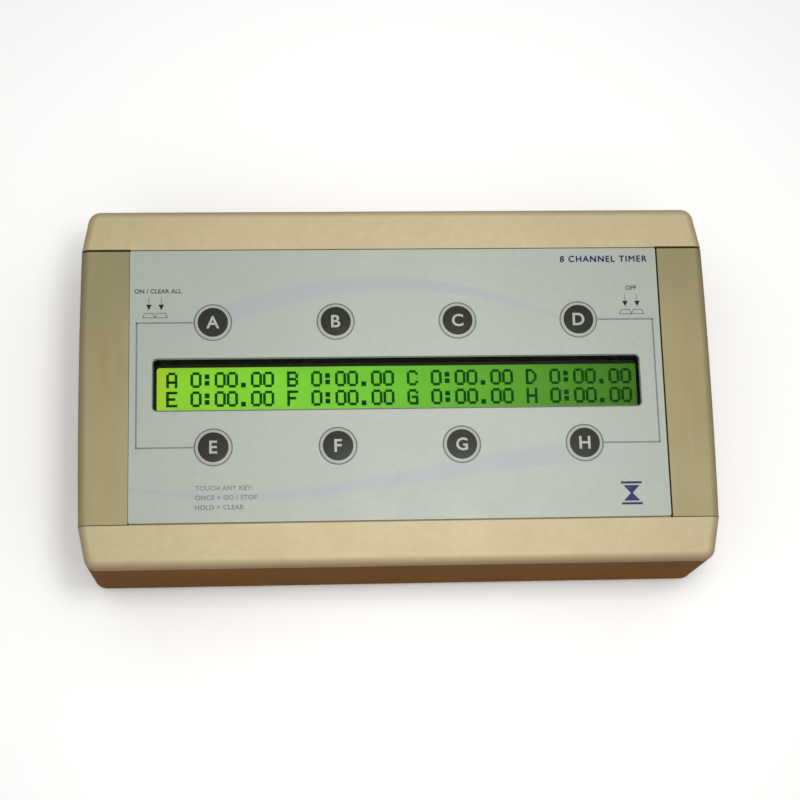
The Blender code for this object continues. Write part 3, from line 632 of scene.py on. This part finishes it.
def lid():
    """The cream lid: bands, floor under foil and strips, spigot, posts and bores."""
    above = PANEL_Z + PAST
    item = case_skin("lid", SEAM_Z + SEAM_GAP, PANEL_Z, True, TOP_EDGE_RADIUS)
    foil_recess = block("foil_recess", (FOIL_LOW.x - GAP, -SIDE_Y, PANEL_UNDER_Z + LID_FLOOR),
        (FOIL_HIGH.x + GAP, SIDE_Y, above))
    inner_x, rear_y = STRIP_LOW.x - 0.35, SIDE_Y + 0.25
    channels = [block("channel", (low, -SIDE_Y, CHANNEL_Z), (high, rear_y, above))
        for low, high in ((inner_x, BESIDE), (-BESIDE, -inner_x))]
    window = block("window", (SURROUND_LOW.x - GAP, SURROUND_LOW.y - GAP, HOLLOW_Z),
        (SURROUND_HIGH.x + GAP, SURROUND_HIGH.y + GAP, above), SURROUND_CORNER)
    key_holes = drums("key_holes", KEY_SPOTS, KEY_HOLE_RADIUS + 0.25, HOLLOW_Z, above)
    spigot = plate("spigot", [case_outline(WALL + GAP)], SEAM_Z - SPIGOT_DEPTH, SEAM_Z + 1)
    cavity = plate("cavity", [case_outline(WALL + GAP + SPIGOT_WALL)], SEAM_Z - 10, CHANNEL_Z - LID_FLOOR)
    cavity_middle = block("cavity_middle", *around(0, 0, 80.4, 52.0, HOLLOW_Z, PANEL_UNDER_Z))
    item = combine(item, "UNION", spigot)
    item = cut(item, cavity, cavity_middle, foil_recess, *channels, window, key_holes)
    item = soften(item, 0.2, 3)

    root_z = PANEL_UNDER_Z + 1
    item = combine(
        item, "UNION",
        drums("case_posts", CASE_SPOTS, CASE_POST_RADIUS, POST_MEET_Z + GAP, CHANNEL_Z - 1),
        drums("display_posts", LCD_SPOTS, SMALL_POST_RADIUS, LCD_BOARD_HIGH.z + GAP, root_z, 32),
        drums("key_posts", KEY_BOARD_SPOTS, SMALL_POST_RADIUS, KEY_BOARD_TOP_Z + GAP, root_z, 32))
    clip_slots = blocks("clip_slots", [around(side * CLIP_X, end * CLIP_Y, 1.3, 4.6, HOLLOW_Z, PANEL_Z)
        for side, end in CORNERS])
    small_spots = LCD_SPOTS + KEY_BOARD_SPOTS
    item = cut(
        item, clip_slots,
        drums("bores", CASE_SPOTS, CASE_BORE_RADIUS, 10.0, CHANNEL_Z + PAST, 32),
        drums("head_bores", CASE_SPOTS, CASE_HEAD_RADIUS, CHANNEL_Z - 2.7, CHANNEL_Z + PAST, 32),
        drums("small_bores", small_spots, SMALL_BORE_RADIUS, 20.0, PANEL_UNDER_Z - 1.5, 24))
    show(shade(item), CREAM, "cream_plastic", "upper_shell")


def door_section(name, gap):
    """Section of the battery door and its runners, carried out through the rear wall."""
    front_y, rear_y = DOOR_FRONT_Y - gap, CASE_Y + PAST
    half_x, top_z = 29.7, 3.9
    runner_x, runner_low_z, runner_high_z = 31.7, 3.5, 4.6
    section = block(name, (-half_x - gap, front_y, BASE_Z - PAST), (half_x + gap, rear_y, top_z))
    runners = block(name + "_runners", (-runner_x - gap, front_y - 0.01, runner_low_z - gap),
        (runner_x + gap, rear_y + 1, runner_high_z + gap))
    return combine(section, "UNION", runners)


def base():
    """The base, in a brown that paints the shade on its walls: rounded lower edge, battery bay, posts, pegs
    and bores.
    """
    item = case_skin("base", BASE_Z, SEAM_Z - SEAM_GAP, False, BASE_EDGE_RADIUS)
    cavity = plate("base_cavity", [case_outline(WALL)], BASE_Z + FLOOR, SEAM_Z + 10)
    item = cut(item, cavity)
    bay = block("bay", (-33.3, -2.0, BASE_Z + 1), (33.3, CASE_Y - 1.2, 21.2))
    item = combine(item, "UNION", bay)
    room = block("bay_room", (-30.5, 0.8, 4.0), (30.5, 53.0, 19.9))
    foot_recesses = drums("foot_recesses", FOOT_SPOTS, 5.3, BASE_Z - 2, BASE_Z + 1.1)
    item = cut(item, room, door_section("door_slot", GAP), foot_recesses)
    item = soften(item, 0.2, 3)
    root_z, board_spots = BASE_Z + 1, BOARD_SPOTS + PEG_SPOTS
    item = combine(
        item, "UNION",
        drums("case_posts", CASE_SPOTS, CASE_POST_RADIUS, root_z, POST_MEET_Z, 32),
        drums("board_posts", board_spots, BOARD_POST_RADIUS, root_z, BOARD_LOW.z - GAP, 32),
        drums("pegs", PEG_SPOTS, 1.1, BASE_Z + 3, BOARD_LOW.z + 3, 24))
    item = cut(
        item, drums("bores", CASE_SPOTS, CASE_BORE_RADIUS, 6.0, POST_MEET_Z + PAST, 32),
        drums("board_bores", BOARD_SPOTS, SMALL_BORE_RADIUS, 4.5, BOARD_LOW.z + 3, 24))
    # painted shade: the base is given the brown that stands in for the shade on its walls
    show(shade(item), PAINTED_SHADE_BROWN, "brown_plastic", "lower_shell")


def strips():
    """The olive covers of both ends. The right one leaves the wider gap."""
    for side, name, gap in ((-1, "cover_strip_left", -0.06), (1, "cover_strip_right", 0.32)):
        low, high = box_mm(name)
        item = case_skin(name + "_skin", SEAM_Z - PAST, PANEL_Z, True, TOP_EDGE_RADIUS)
        reach = sorted((side * (STRIP_LOW.x + gap), side * BESIDE))
        trim = block("trim", (reach[0], low.y - 0.08, PANEL_Z - STRIP_THICKNESS),
            (reach[1], high.y, PANEL_Z + PAST))
        item = soften(combine(item, "INTERSECT", trim), 0.22, 3)
        clips = blocks("clips", [around(side * CLIP_X, y, 0.9, 4.2, CHANNEL_Z - 3.2, PANEL_Z - 1)
            for y in (-CLIP_Y, CLIP_Y)])
        show(shade(combine(item, "UNION", clips)), OLIVE, "olive_plastic", name)


def battery_door():
    """The door in the base's floor, with three finger grips."""
    item = case_skin("door_skin", BASE_Z, 12.0, False, BASE_EDGE_RADIUS)
    item = combine(item, "INTERSECT", door_section("door_shape", 0.0))
    grips = [block("grip", (-9.0, y, BASE_Z - 1), (9.0, y + 1.4, BASE_Z + 0.6)) for y in (44.0, 47.0, 50.0)]
    item = cut(item, *grips)
    # painted shade: the door carries the same brown that stands in for shade
    show(shade(soften(item, 0.18)), PAINTED_SHADE_BROWN, "brown_plastic", "battery_door", body="door")


def feet():
    """Rubber feet, each hollow underneath."""
    pad = [(0.0, 2.3), (4.6, 2.3), (5.0, 2.0), (5.0, 0.7), (4.85, 0.30), (4.5, 0.05), (3.4, 0.05),
        (3.1, 0.40), (0.0, 0.40)]
    for number, (x, y) in enumerate(FOOT_SPOTS, 1):
        name = "foot_%d" % number
        item = soften(lathe(name + "_pad", pad, 64, (x, y, 0)), 0.08, 2, 40)
        show(shade(item), RUBBER, "rubber", name)


# ---- foil, keys and prints


def window_outline(out=0.0):
    """The edge of the window, or a line just outside it."""
    return rounded_box(WINDOW_X + out, WINDOW_Y + out, WINDOW_CORNER + out)


def foil():
    """The printed overlay, and the thin dark line round its window."""
    outer = rounded_box(FOIL_HIGH.x + 0.1, FOIL_HIGH.y - 0.1, 0.6, 4, (0.0, 0.1))
    holes = [circle(x, y, KEY_HOLE_RADIUS) for x, y in KEY_SPOTS]
    item = plate("printed_foil", [outer, window_outline()] + holes, FOIL_LOW.z, PANEL_Z)
    show(shade(soften(item, 0.08, 2, 60)), FOIL, "printed_foil", "front_foil")
    line = plate("window_border", [window_outline(WINDOW_LINE), window_outline()], PRINT_LOW_Z, PRINT_HIGH_Z)
    show(line, WINDOW_LINE_COLOUR, "printed_foil")


def crown(radius):
    """Height of a key's shallow crown above the foil."""
    return CROWN_HEIGHT - CROWN_FALL * (radius / KEY_FACE_RADIUS) ** 2


def cap_profile():
    """From the middle of the crown over shoulder and flange to the stem."""
    shoulder = 0.55
    face = [(r, crown(r)) for r in (KEY_FACE_RADIUS * i / 6 for i in range(7))]
    turn = [(KEY_FACE_RADIUS + shoulder * sin(a), crown(KEY_FACE_RADIUS) - shoulder * (1 - cos(a)))
        for a in (pi / 12 * i for i in range(1, 7))]
    return face + turn + [(KEY_RADIUS, -3.7), (FLANGE_RADIUS, -3.7), (FLANGE_RADIUS, -4.7),
        (1.5, -4.7), (1.5, -8.4), (0.0, -8.4)]


def disc_profile():
    """A thin disc, which follows the crown."""
    radii = [KEY_DISC_RADIUS * i / 8 for i in range(9)]
    return [(r, crown(r) + 0.03) for r in radii] + [(r, crown(r) - 0.03) for r in reversed(radii)]


def keys():
    """Round keys with a dark disc and a pale letter, and the seals of their openings."""
    for letter, (x, y) in zip(KEY_LETTERS, KEY_SPOTS):
        body, name = "button_" + letter.lower(), "key_" + letter.lower()
        place = (x, y, PANEL_Z)
        cap = soften(lathe(name + "_cap", cap_profile(), 96, place), 0.1, 2, 50)
        show(shade(cap), KEY_GREY, "grey_key", name, body=body)
        show(shade(lathe(name + "_disc", disc_profile(), 96, place)), KEY_DARK, "grey_key", body=body)
        mark = lettering(name + "_letter", [(letter, (x, y), 4.0)], PANEL_Z + 0.43, 0.06, 0.018, centred=True)
        show(mark, LETTER_INK, "grey_key", body=body)

    near, far, low, high = 5.71, 7.1, -0.95, -0.28
    seal = [(near, high), (5.85, high), (5.88, -0.70), (far, -0.75), (far, low), (near, low), (near, high)]
    rings = [(lathe("seal", seal, 64, (x, y, PANEL_Z)), SEAL) for x, y in KEY_SPOTS]
    show(join("key_seals", *rings), None, "printed_foil")


def lettering(name, lines, z, thickness, boldness, spacing=1.08, centred=False):
    """Words as thin print, each given with its place and height."""
    joined = bmesh.new()
    for words, (x, y), height in lines:
        curve = bpy.data.curves.new(name, "FONT")
        curve.body = words
        curve.size = 1.0
        curve.offset = boldness
        curve.space_character = spacing
        curve.fill_mode = "BOTH"
        curve.extrude = 0.5
        curve.resolution_u = 4
        mesh = drawn_mesh(name, curve)
        xs = [v.co.x for v in mesh.vertices]
        ys = [v.co.y for v in mesh.vertices]
        scale = height / (max(ys) - min(ys))
        left = (min(xs) + max(xs)) / 2 if centred else min(xs)
        level = (min(ys) + max(ys)) / 2
        for vertex in mesh.vertices:
            across, up, out = vertex.co
            vertex.co = ((x + (across - left) * scale) * MM, (y + (up - level) * scale) * MM,
                (z + thickness * out) * MM)
        joined.from_mesh(mesh)
    bmesh.ops.remove_doubles(joined, verts=joined.verts, dist=0.000001)
    return add_mesh(name, joined)


def stroke(start, end, width):
    """A straight line as a four-cornered outline."""
    dx, dy = end[0] - start[0], end[1] - start[1]
    length = hypot(dx, dy)
    nx, ny = -dy / length * width / 2, dx / length * width / 2
    return [(start[0] + nx, start[1] + ny), (start[0] - nx, start[1] - ny), (end[0] - nx, end[1] - ny),
        (end[0] + nx, end[1] + ny)]


def printed(name, outlines, material):
    """Printed shapes, a hair proud of the foil."""
    parts = [(plate(name, [outline], PRINT_LOW_Z, PRINT_HIGH_Z), material) for outline in outlines]
    show(join(name, *parts), material, "printed_foil")


def bracket_lines():
    """Lines that join both rows of keys round the ends of the display."""
    key_x, key_y = KEY_SPOTS[3]
    reach_x, start_x, width = 80.0, key_x + 6.0, 0.5
    lines = []
    for side in (-1, 1):
        corner_x = side * (reach_x + width / 2)
        lines += [stroke((side * start_x, y), (corner_x, y), width) for y in (key_y, -key_y)]
        lines.append(stroke((side * reach_x, key_y), (side * reach_x, -key_y), width))
    printed("bracket_lines", lines, GREY_INK)


def key_arrows():
    """Arrows that point down to little drawings of a key."""
    arrows, pictures = [], []
    for x in (-76.3, -72.5, 71.7, 75.5):
        pictures.append(stroke((x, 27.9), (x, 25.6), 0.24))
        arrows.append([(x - 0.85, 25.6), (x, 23.8), (x + 0.85, 25.6)])
        foot, top = [(x - 1.9, 21.4), (x + 1.9, 21.4)], [(x - 1.3, 22.8), (x + 1.3, 22.8)]
        pictures += [stroke(start, end, 0.34) for start, end in (foot, top, *zip(foot, top))]
    printed("arrows", arrows, ARROW_INK)
    printed("key_pictures", pictures, GREY_INK)


def legends():
    """Plain words of the foil."""
    lines = [("ON / CLEAR ALL", (-80.7, 29.9), 1.45), ("OFF", (72.1, 29.9), 1.45)]
    show(lettering("labels", lines, PANEL_Z, 0.04, 0.025, 1.02), DARK_INK, "printed_foil")
    lines = [(words, (-62.2, y), 1.5) for words, y in (
        ("TOUCH ANY KEY:", -32.3), ("ONCE = GO / STOP", -35.2), ("HOLD = CLEAR", -38.2))]
    show(lettering("legends", lines, PANEL_Z, 0.04, 0.025), GREY_INK, "printed_foil")
    lines = [("8 CHANNEL TIMER", (51.8 + shift, 39.4 + shift), 2.0) for shift in (0.0, 0.17)]
    show(lettering("title", lines, PANEL_Z, 0.04, 0.0, 1.17), NAVY_INK, "printed_foil")


def hourglass():
    """A generic mark for a timer."""
    x, y = 70.4, -35.6
    wide, tall, waist = 2.5, 2.4, 0.3
    glass = [(x - wide, y + tall), (x + wide, y + tall), (x + waist, y), (x + wide, y - tall),
        (x - wide, y - tall), (x - waist, y)]
    ends = [stroke((x - 3.2, y + side * 3.25), (x + 3.2, y + side * 3.25), 0.7) for side in (-1, 1)]
    printed("hourglass", [glass] + ends, NAVY_INK)


# ---- display

GLYPHS = {
    "A": ".###. #...# #...# #...# ##### #...# #...#",
    "B": "####. #...# #...# ####. #...# #...# ####.",
    "C": ".###. #...# #.... #.... #.... #...# .###.",
    "D": "###.. #..#. #...# #...# #...# #..#. ###..",
    "E": "##### #.... #.... ####. #.... #.... #####",
    "F": "##### #.... #.... ####. #.... #.... #....",
    "G": ".###. #...# #.... #.### #...# #...# .####",
    "H": "#...# #...# #...# ##### #...# #...# #...#",
    "0": ".###. #...# #...# #...# #...# #...# .###.",
    ":": "..... .##.. .##.. ..... .##.. .##.. .....",
    ".": "..... ..... ..... ..... ..... .##.. .##..",
    " ": "",
}
CHARACTER_X, CHARACTER_Y = 3.724, 6.10  # pitch of the characters
# the dots are drawn larger than their pitch; the extra dark is painted shadow of the dots on the backing
DOT_X, DOT_Y, DOT_SIZE = 0.65, 0.69, 0.86
COLUMNS = 40


def display_dots():
    """The dots of both lines, with all eight channels at zero."""
    left = DISPLAY.x - ((COLUMNS - 1) * CHARACTER_X + 4 * DOT_X) / 2
    top = DISPLAY.y + 0.13 + (CHARACTER_Y + 6 * DOT_Y) / 2
    low_z, high_z = GLASS_HIGH.z - 0.01, GLASS_HIGH.z + 0.02
    boxes = []
    for row, group in enumerate(("ABCD", "EFGH")):
        for column, character in enumerate("".join(letter + " 0:00.00 " for letter in group)):
            for j, pattern in enumerate(GLYPHS[character].split()):
                for i, dot in enumerate(pattern):
                    if dot == "#":
                        x = left + column * CHARACTER_X + i * DOT_X - DOT_SIZE / 2
                        y = top - row * CHARACTER_Y - j * DOT_Y - DOT_SIZE / 2
                        boxes.append(((x, y, low_z), (x + DOT_SIZE, y + DOT_SIZE, high_z)))
    show(blocks("display_dots", boxes), DOT_INK, "liquid_crystal")


def display_frame():
    """The black surround of the recess, its clear pane and the lit glass."""
    outer = rounded_box(SURROUND_HIGH.x, SURROUND_HIGH.y, SURROUND_CORNER)
    item = plate("surround", [outer, window_outline()], SURROUND_LOW.z, SURROUND_HIGH.z)
    show(shade(soften(item, 0.12, 2, 60)), BLACK, "black_plastic", "display_surround")

    outline = rounded_box(WINDOW_HIGH.x, WINDOW_HIGH.y, SURROUND_CORNER)
    pane = plate("window_pane", [outline], WINDOW_LOW.z, WINDOW_HIGH.z)
    show(shade(soften(pane, 0.1, 2, 60)), CLEAR, "clear_sheet", "display_window")

    split_z, ledge = GLASS_LOW.z + 1.1, 1.8
    back = block("back_glass", GLASS_LOW, (GLASS_HIGH.x, GLASS_HIGH.y, split_z))
    front = block("front_glass", (GLASS_LOW.x, GLASS_LOW.y + ledge, split_z), GLASS_HIGH)
    glass = join("display_glass", (soften(back, 0.1), DISPLAY_GLASS), (soften(front, 0.1), DISPLAY_GLASS))
    show(shade(glass), DISPLAY_GLASS, "liquid_crystal", "lcd_glass")


# ---- inside the case


def refined(node, name, width):
    """A CAD node's own shape with merged flats and soft edges."""
    shape = bmesh.new()
    shape.from_mesh(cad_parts[node].data)
    bmesh.ops.remove_doubles(shape, verts=shape.verts, dist=0.000002)
    bmesh.ops.dissolve_limit(shape, angle_limit=0.01, verts=shape.verts, edges=shape.edges)
    return soften(add_mesh(name, shape), width, 2, 30)


def bezel_and_light():
    """The display's steel frame with its tabs, and the light guide."""
    bezel = refined("lcd_bezel", "bezel_shell", 0.15)
    low, high = box_mm("lcd_bezel")
    tabs = blocks("bezel_tabs", [around(x, y, 1.6, 0.25, LCD_BOARD_LOW.z - 1.0, low.z + 0.4)
        for x in (low.x + 14, middle("lcd_bezel").x, high.x - 14) for y in (low.y + 0.3, high.y - 0.3)])
    assembly("display_bezel", "black_steel", "lcd_bezel", (bezel, COATED_STEEL), (tabs, COATED_STEEL))
    show(shade(refined("lcd_backlight", "light_guide", 0.3)), MILKY, "light_guide", "lcd_backlight")


def display_board():
    """The display's board, with drops of resin over its chips and a row of pads."""
    board = refined("lcd_board", "display_board_plate", 0.1)
    resin = [(0.0, 0.02), (5.2, 0.02), (4.2, -0.6), (2.4, -1.1), (0.0, -1.3)]
    centre, under = middle("lcd_board"), LCD_BOARD_LOW.z
    drops = [(lathe("drop", resin, 48, (centre.x + x, centre.y + 2.0, under)), BLACK) for x in (-52, -4, 46)]
    row_y = LCD_BOARD_LOW.y + 2.2
    pads = blocks("pads", [around(LCD_BOARD_LOW.x + 34 + PIN_PITCH * i, row_y, 0.6, 1.0, under - 0.06,
        under + 0.01) for i in range(16)])
    assembly("display_board", "circuit_board", "lcd_board", (board, BOARD), (pads, ZINC), *drops)


def key_boards():
    """The two boards under the keys, with pads for the switches' legs."""
    for node in ("key_board_rear", "key_board_front"):
        top, y = box_mm(node)[1].z, middle(node).y
        board = refined(node, node + "_plate", 0.1)
        pads = blocks("pads", [around(x + side * 3.6, y + 1.9 * end, 0.8, 0.5, top - 0.01, top + 0.05)
            for x, _ in KEY_SPOTS[:4] for side, end in CORNERS])
        assembly(node + "_made", "circuit_board", node, (board, BOARD), (pads, ZINC))


def switches():
    """Tactile switches: body, riveted cover plate and four legs."""
    for letter, (x, y) in zip(KEY_LETTERS.lower(), KEY_SPOTS):
        node = "switch_" + letter
        low, high = box_mm(node)
        top, spot, inset = high.z, [(x, y)], 0.2
        body = block("body", low, (high.x, high.y, top - 0.25), 0.5, 4)
        body = soften(cut(body, drums("well", spot, 1.9, top - 2.4, top + 3, 32)), 0.08)
        cover = block("cover", (low.x + inset, low.y + inset, top - 0.26),
            (high.x - inset, high.y - inset, top), 0.4, 4)
        cover = soften(cut(cover, drums("hole", spot, 1.95, top - 1, top + 1, 32)), 0.05)
        rivet_spots = [(x + side * 2.2, y + end * 2.2) for side, end in CORNERS]
        rivets = drums("rivets", rivet_spots, 0.4, top - 0.1, top + 0.12, 16)
        legs = blocks("legs", [around(x + side * 3.55, y + end * 1.9, 0.6, 0.3, low.z - 0.25, low.z + 0.05)
            for side, end in CORNERS])
        assembly(node + "_made", "black_plastic", node, (body, BLACK), (cover, ZINC), (rivets, BLACK),
            (legs, ZINC))


def main_board():
    """The main board, with chip parts, a capacitor and a socket."""
    board = refined("main_board", "main_board_plate", 0.1)
    top = BOARD_HIGH.z
    sunk = top - 0.01
    columns = range(-22, 22, 5)
    chips = blocks("chips", [((x, -42.0, sunk), (x + 2.0, -40.75, top + 0.55)) for x in columns]
        + [((x, -20.5, sunk), (x + 1.25, -18.5, top + 0.7)) for x in range(-14, 30, 6)])
    ends = blocks("chip_ends", [((x + near, -42.02, sunk), (x + far, -40.73, top + 0.57))
        for near, far in ((-0.3, 0.01), (1.99, 2.3)) for x in columns])
    tin = [(0.0, 6.6), (2.7, 6.6), (3.1, 6.2), (3.1, 1.2), (2.9, 0.9), (3.1, 0.6), (3.1, 0.0), (0.0, 0.0)]
    can = lathe("capacitor", tin, 48, (-20.5, -14.0, top))
    socket = block("socket", (33.0, -17.0, sunk), (41.0, -11.5, top + 6.0))
    well = block("socket_well", (33.8, -16.2, top + 1.2), (40.2, -12.4, top + 8.0))
    socket = soften(cut(socket, well), 0.15)
    pins = blocks("socket_pins", [((x - 0.3, -14.6, top + 1.0), (x + 0.3, -14.0, top + 5.0))
        for x in (35.6, 38.2)])
    assembly("main_board_made", "circuit_board", "main_board", (board, BOARD), (soften(chips, 0.08), CERAMIC),
        (ends, ZINC), (soften(can, 0.1, 2, 50), JACKET), (socket, MILKY), (pins, ZINC))


def microcontroller():
    """A chip with two rows of legs, wide above and narrow below."""
    low, high = box_mm("microcontroller")
    body = refined("microcontroller", "chip_body", 0.15)
    legs = []
    for number in range(14):
        x = (low.x + high.x) / 2 + (number - 6.5) * PIN_PITCH
        for edge, side in ((low.y, -1), (high.y, 1)):
            for start, half_x, under, over in ((-0.05, 0.7, 1.5, 1.8), (0.6, 0.25, -0.28, 1.52)):
                near, far = sorted((edge + side * start, edge + side * 0.9))
                legs.append(((x - half_x, near, low.z + under), (x + half_x, far, low.z + over)))
    assembly("chip", "black_plastic", "microcontroller", (body, BLACK), (blocks("chip_legs", legs), ZINC))


def crystal():
    """A steel can on a thin flange."""
    low, high = box_mm("crystal")
    can = block("crystal_can", (low.x + 0.3, low.y + 0.3, low.z), (high.x - 0.3, high.y - 0.3, high.z), 1.9)
    can = soften(can, 0.3, 3)
    flange = soften(block("crystal_flange", low, (high.x, high.y, low.z + 0.5), 2.2), 0.1)
    assembly("crystal_made", "steel", "crystal", (can, NICKEL), (flange, NICKEL))


def buzzer():
    """A round sounder with a hole and a groove."""
    place = (*middle("buzzer").xy, box_mm("buzzer")[0].z)
    profile = [(0.0, 5.4), (1.0, 5.4), (1.0, 6.9), (5.0, 6.9), (5.7, 6.7), (6.0, 6.2), (6.0, 2.2),
        (5.85, 2.0), (6.0, 1.8), (6.0, 0.0), (0.0, 0.0)]
    show(shade(soften(lathe("sounder", profile, 64, place), 0.1, 2, 50)), BLACK, "black_plastic", "buzzer")


def ribbon_cable():
    """Sleeved wires and their web, in one S-curve from board to board."""
    wires, radius, steps, half_web = 16, 0.45, 40, 0.12
    start, end = (-30.0, RIBBON_LOW.z), (-7.0, RIBBON_HIGH.z)
    spine = []
    for share in (step / steps for step in range(steps + 1)):
        swing = share - sin(tau * share) / tau
        spine.append((start[0] + (end[0] - start[0]) * swing, start[1] + (end[1] - start[1]) * share))
    pitch = (RIBBON_HIGH.x - RIBBON_LOW.x - 2 * radius) / (wires - 1)
    parts = []
    for number in range(wires):
        curve = bpy.data.curves.new("wire", "CURVE")
        curve.dimensions = "3D"
        curve.bevel_depth = radius * MM
        curve.bevel_resolution = 3
        curve.use_fill_caps = True
        x = RIBBON_LOW.x + radius + number * pitch
        add_spline(curve, [(x, y, z) for y, z in spine], False)
        parts.append((linked("tube", drawn_mesh("wire", curve)), RIBBON if number else RED_SLEEVE))
    section = [(y - half_web, z) for y, z in spine] + [(y + half_web, z) for y, z in reversed(spine)]
    web = plate("web", [section], RIBBON_LOW.x + 0.5, RIBBON_HIGH.x - 0.5)
    web.rotation_euler = (radians(90), 0.0, radians(90))
    web.location = (middle("ribbon_cable").x * MM, 0.0, 0.0)
    item = join("ribbon", *parts, (settle(web), RIBBON))
    smooth(item, 50)
    show(item, None, "ribbon_grey", "ribbon_cable")


CELL_CAN = [(0.0, 25.1), (2.4, 25.1), (2.7, 24.8), (2.7, 24.0), (5.9, 24.0), (6.4, 23.7), (6.6, 23.3),
    (6.6, -24.6), (6.3, -24.9), (5.0, -24.9), (4.6, -25.1), (0.0, -25.1)]
CELL_SLEEVE = [(6.5, 9.0), (7.0, 9.0), (7.0, -24.3), (6.8, -24.55), (6.4, -24.6), (6.4, -24.0), (6.5, -23.8),
    (6.5, 9.0)]
CELL_SLEEVE_TOP = [(6.5, 23.4), (6.8, 23.4), (7.0, 23.1), (7.0, 9.0), (6.5, 9.0), (6.5, 23.4)]


def cells():
    """Round cells with a two-colour sleeve, laid in by turns."""
    for number in range(4):
        node = "cell_%d" % (number + 1)
        item = join(node + "_made", (lathe("can", CELL_CAN), ZINC), (lathe("sleeve", CELL_SLEEVE), JACKET),
            (lathe("sleeve_top", CELL_SLEEVE_TOP), COPPER_JACKET))
        item.location = middle(node) * MM
        item.rotation_euler.x = radians(-90 if number % 2 else 90)
        show(shade(settle(item), 40), None, "cell_jacket", node)


def contacts():
    """Contact strips with a pressed dimple for each cell."""
    dome = [(0.0, 0.32), (1.2, 0.28), (2.2, 0.12), (2.8, -0.05), (0.0, -0.05)]
    for node, side in (("contact_front", 1), ("contact_rear", -1)):
        low, high = box_mm(node)
        parts = [(soften(block(node + "_strip", low, high), 0.1), NICKEL)]
        for cell in range(1, 5):
            centre = middle("cell_%d" % cell)
            bump = lathe("dimple", dome, 32)
            bump.rotation_euler.x = radians(-90 * side)
            bump.location = (centre.x * MM, (high.y if side == 1 else low.y) * MM, centre.z * MM)
            parts.append((settle(bump), NICKEL))
        assembly(node + "_made", "steel", node, *parts)


def screw_profile(head, height, shank, length):
    """A domed head on a threaded, pointed shank."""
    pitch, root, plain, tip = 0.8, 0.78, 0.8, 1.5
    dome = [(head * sin(a), height * (0.45 + 0.55 * cos(a))) for a in (pi / 2 * i / 6 for i in range(7))]
    thread = []
    for turn in range(int((length - tip) / pitch)):
        z = -plain - turn * pitch
        thread += [(shank, z), (shank * root, z - pitch / 2)]
    return dome + [(head, 0.0), (shank, 0.0)] + thread + [(shank * 0.7, 0.4 - length), (0.0, -length)]


def screws():
    """Screws with a cross recess, heads up or down."""
    small = (2.2, 1.6, 1.1)
    for prefix, count, head, height, shank, length, up in (
            ("case_screw_", 4, 2.8, 2.1, 1.5, 24.0, True), ("main_board_screw_", 2, *small, 5.0, True),
            ("lcd_screw_", 4, *small, 6.0, False), ("key_board_screw_", 4, *small, 6.0, False)):
        profile = screw_profile(head, height, shank, length)
        for number in range(1, count + 1):
            node = prefix + str(number)
            low, high = box_mm(node)
            item = lathe(node + "_turned", profile, 32)
            reach, deep = head * 0.55, height * 0.45
            item = cut(item, *[block("cross", (-a, -b, deep), (a, b, height + 2))
                for a, b in ((reach, 0.3), (0.3, reach))])
            seat = high.z - height if up else low.z + height
            item.location = (middle(node).x * MM, middle(node).y * MM, seat * MM)
            item.rotation_euler.x = 0.0 if up else pi
            show(shade(settle(item), 40), ZINC, "steel", node)


# ---- camera, floor and light

LENS = 85.9  # for a sensor 36 mm wide
CAMERA_PLACE = (-37.5, -149.17, PANEL_Z + 565.86)
CAMERA_TURN = (14.308, -3.433, -1.550)


def camera():
    """High in front of the timer, a little to its left."""
    data = bpy.data.cameras.new("camera")
    data.sensor_width = 36.0
    data.lens = LENS
    item = linked("camera", data, CAMERA_PLACE)
    item.rotation_euler = [radians(turn) for turn in CAMERA_TURN]
    bpy.context.scene.camera = item


def softbox():
    """A round softbox. Its grid lets the light fan out only so far."""
    place, target = (40.0, -30.0, 441.0), (10.0, -12.0, 40.0)
    data = bpy.data.lights.new("key_light", "AREA")
    data.shape = "DISK"
    data.size = 0.12
    data.spread = radians(55)
    data.energy = 0.100
    data.color = (1.0, 0.985, 0.95)
    item = linked("key_light", data, place)
    item.rotation_euler = (Vector(target) - Vector(place)).to_track_quat("-Z", "Y").to_euler()


def studio():
    """A pale floor, even light from all round and a softbox."""
    shape = bmesh.new()
    bmesh.ops.create_grid(shape, x_segments=1, y_segments=1, size=6.0)
    floor = add_mesh("floor", shape)
    material, tree, shader = new_material("pale_floor", 0.9)
    feed(shader, Base_Color=blend(tree, noise(tree, 8.0), (0.92, 0.92, 0.91), (0.93, 0.93, 0.92)))
    floor.data.materials.append(material)

    world = bpy.data.worlds.new("studio")
    world.use_nodes = True
    feed(world.node_tree.nodes["Background"], Color=(1.0, 1.0, 1.0), Strength=0.94)
    bpy.context.scene.world = world
    softbox()


for build in (camera, studio, lid, base, strips, battery_door, feet, foil, keys, bracket_lines, key_arrows,
        legends, hourglass, display_frame, display_dots, bezel_and_light, display_board, key_boards, switches,
        main_board, microcontroller, crystal, buzzer, ribbon_cable, cells, contacts, screws):
    build()
bpy.context.scene.view_settings.view_transform = "Standard"
